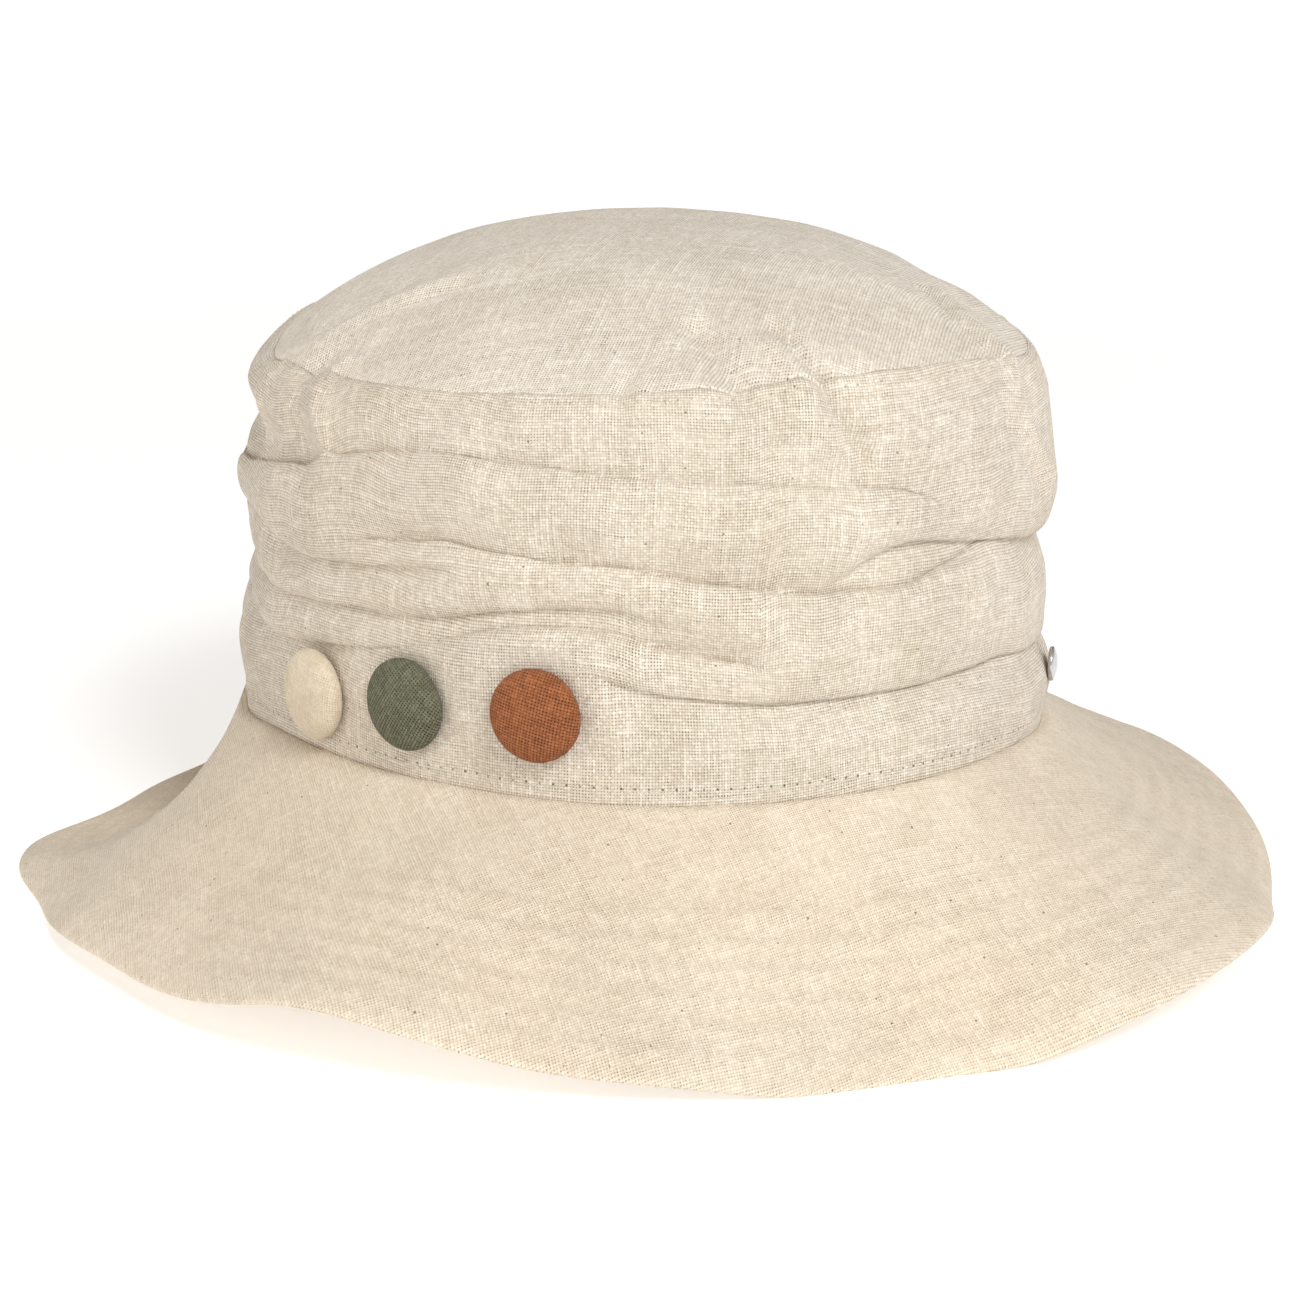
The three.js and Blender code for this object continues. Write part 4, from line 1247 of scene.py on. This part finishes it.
# %% Polished steel
def polished_steel(name):
    """Plain polished steel with faint turning marks and a few hairline scratches."""
    s = Shader(bpy.data.materials.new(name))
    place = s.add("ShaderNodeUVMap", uv_map="weave").outputs[0]
    far = s.add("ShaderNodeVectorMath", {0: place}, operation="LENGTH").outputs["Value"]
    rings = s.noise(s.vector(far, 0.0), 14.0, 2.0)
    drawn_out = s.add("ShaderNodeMapping", {0: place, 2: (0.0, 0.0, 0.7), 3: (0.6, 30.0, 1.0)})
    hair = s.noise(drawn_out.outputs[0], 1.0)
    rough = s.math("ADD", s.ramp(rings, 0.3, 0.7, 0.14, 0.22), s.ramp(hair, 0.62, 0.8, 0.0, 0.12))
    tone = s.ramp(s.noise(place, 0.5, 2.0), 0.3, 0.7, 0.56, 0.64)
    raised = s.add("ShaderNodeBump", {"Strength": 0.4, "Distance": 0.01 * MM, "Height": rings})
    surface = s.add("ShaderNodeBsdfPrincipled", {
        "Base Color": s.vector(tone, tone, tone), "Metallic": 1.0, "Roughness": rough,
        "Normal": raised.outputs[0],
    })
    s.add("ShaderNodeOutputMaterial", {"Surface": surface.outputs[0]})
    return s.material


# %% The stud's cap
STUD_COLUMNS = 72
# Distance from the middle and height above the band, from the back over the rim to the top.
STUD_OUTLINE = np.array([
    [0.1, -0.35], [1.5, -0.35], [3.0, -0.35], [3.45, -0.3], [3.65, -0.1], [3.75, 0.15], [3.75, 0.4],
    [3.68, 0.6], [3.5, 0.75], [3.2, 0.9], [2.8, 1.06], [2.3, 1.22], [1.6, 1.4], [0.9, 1.5], [0.05, 1.52],
])
centre, sideways, upward, out_way = fixing_frame("stud")
r, w = STUD_OUTLINE[:, :1], STUD_OUTLINE[:, 1:]
a = np.arange(STUD_COLUMNS) * 2 * math.pi / STUD_COLUMNS
points = (centre + (r * np.cos(a))[..., None] * sideways + (r * np.sin(a))[..., None] * upward
          + (w + 0 * a)[..., None] * out_way)
a = np.append(a, 2 * math.pi)
flat = np.stack([r * np.cos(a), r * np.sin(a)], -1)
stud = ring_mesh("stud_cap", points, {"weave": flat, "rows": flat}, polished_steel("stud_steel"))
add_piece(stud, ["metal_stud"])

# %% [markdown]
# ## Camera
# The camera stands where the photograph was taken: 30 degrees round to the wearer's right, 15 degrees
# above the ground and 0.7 m away. Its lens is long, because a short one would widen the near side of the
# brim.

# %% The photograph's viewpoint
scene = bpy.context.scene
AZIMUTH = math.radians(-30)
ELEVATION = math.radians(15)
DISTANCE = 0.7
AIM_HEIGHT = 0.046
AIM_ASIDE = 0.0016


def direction_to(azimuth, elevation):
    """The direction from the hat towards an azimuth and an elevation."""
    return Vector((math.sin(azimuth) * math.cos(elevation), -math.cos(azimuth) * math.cos(elevation),
                   math.sin(elevation)))


back = direction_to(AZIMUTH, ELEVATION)
right = Vector((math.cos(AZIMUTH), math.sin(AZIMUTH), 0))
aim = Vector(AXIS) * MM + Vector((0, 0, AIM_HEIGHT)) + right * AIM_ASIDE
camera_data = bpy.data.cameras.new("camera")
camera_data.lens = 86.4
camera_data.sensor_width = 36
camera = bpy.data.objects.new("camera", camera_data)
scene.collection.objects.link(camera)
camera.location = aim + back * DISTANCE
camera.rotation_mode = "QUATERNION"
camera.rotation_quaternion = (-back).to_track_quat("-Z", "Y")
scene.camera = camera

# %% [markdown]
# ## Light
# The photograph has a broad soft light from the right and a white ground. So the key light stands before
# the wearer, which is to the right of the camera, and a weaker warm one on the wearer's right keeps the
# shaded side open. The room is brightest at the front, and its walls are pale so that low views have a
# light background too. One evenly white room would be simpler, but then the folds would have no light
# and dark sides.

# %% A pale room
FRONT = (0.05, -0.88, 0.47)
WALL_BOTTOM = 0.16
WALL_TOP = 0.3
world = bpy.data.worlds.new("white_room")
scene.world = world
room = Shader(world)
towards = room.add("ShaderNodeTexCoord").outputs["Generated"]
facing = room.add("ShaderNodeVectorMath", {0: towards, 1: FRONT}, operation="DOT_PRODUCT").outputs["Value"]
from_front = room.add("ShaderNodeMapRange", {
    "Value": facing, "From Min": -1.0, "From Max": 1.0, "To Min": 0.06, "To Max": 0.62,
}).outputs["Result"]
rise = room.add("ShaderNodeSeparateXYZ", {0: towards}).outputs["Z"]
walls = room.add("ShaderNodeMapRange", {
    "Value": rise, "From Min": WALL_BOTTOM, "From Max": WALL_TOP, "To Min": 0.74, "To Max": 0.0,
}).outputs["Result"]
glow = room.add("ShaderNodeBackground", {
    "Color": (1.0, 0.97, 0.925, 1), "Strength": room.math("MAXIMUM", from_front, walls),
})
room.add("ShaderNodeOutputWorld", {"Surface": glow.outputs[0]})

# %% Two soft lights
LIGHT_DISTANCE = 1.6


def softbox(name, azimuth, elevation, size, power, color=(1, 1, 1)):
    """A square soft light that faces the hat from a direction around it."""
    data = bpy.data.lights.new(name, "AREA")
    data.shape = "SQUARE"
    data.size = size
    data.energy = power
    data.color = color
    lamp = bpy.data.objects.new(name, data)
    scene.collection.objects.link(lamp)
    way = direction_to(math.radians(azimuth), math.radians(elevation))
    lamp.location = Vector((0, 0, 0.08)) + way * LIGHT_DISTANCE
    lamp.rotation_mode = "QUATERNION"
    lamp.rotation_quaternion = way.to_track_quat("Z", "Y")


softbox("key_light", azimuth=-4, elevation=41, size=0.45, power=12.9)
softbox("left_light", azimuth=-90, elevation=20, size=0.5, power=3.8, color=(1.0, 0.9, 0.78))

# %% [markdown]
# ## Ground
# The hat stands on plain white paper. Paper lit only by the lights would turn grey towards the horizon,
# so it glows a little, more so further from the hat. Near the hat the soft shadow still shows.

# %% White paper
GROUND_REACH = 6
ground_corners = [(GROUND_REACH * a, GROUND_REACH * b, 0) for a, b in ((-1, -1), (1, -1), (1, 1), (-1, 1))]
floor_mesh = bpy.data.meshes.new("ground")
floor_mesh.from_pydata(ground_corners, [], [(0, 1, 2, 3)])
ground = bpy.data.objects.new("ground", floor_mesh)
scene.collection.objects.link(ground)
paper = Shader(bpy.data.materials.new("paper"))
spot = paper.add("ShaderNodeTexCoord").outputs["Object"]
tint = paper.ramp(paper.noise(spot, 900.0, 2.0), 0.2, 0.8, 0.93, 0.96)
from_hat = paper.add("ShaderNodeVectorMath", {0: spot}, operation="LENGTH").outputs["Value"]
glow = paper.ramp(from_hat, 0.4, 2.0, 0.42, 0.8)
white = paper.add("ShaderNodeBsdfPrincipled", {
    "Base Color": paper.vector(tint, tint, tint), "Roughness": 0.9, "Specular IOR Level": 0.1,
    "Emission Color": (1, 1, 1, 1), "Emission Strength": glow,
})
paper.add("ShaderNodeOutputMaterial", {"Surface": white.outputs[0]})
floor_mesh.materials.append(paper.material)
ground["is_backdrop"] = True
scene.view_settings.view_transform = "Standard"

# %% [markdown]
# ## The cloth pieces, and a last look at the model's box
# The three cloth pieces were cut flat: a band for the side, an oval for the tip and a ring for the brim.
# The side is wider than the crown is high, because it's gathered into its rolls.

# %% The model's box
new_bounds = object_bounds()
for corner, cad, new in zip(("low", "high"), cad_bounds, new_bounds):
    print(corner, [round((b - a) / MM, 1) for a, b in zip(cad, new)], "mm from the CAD box")
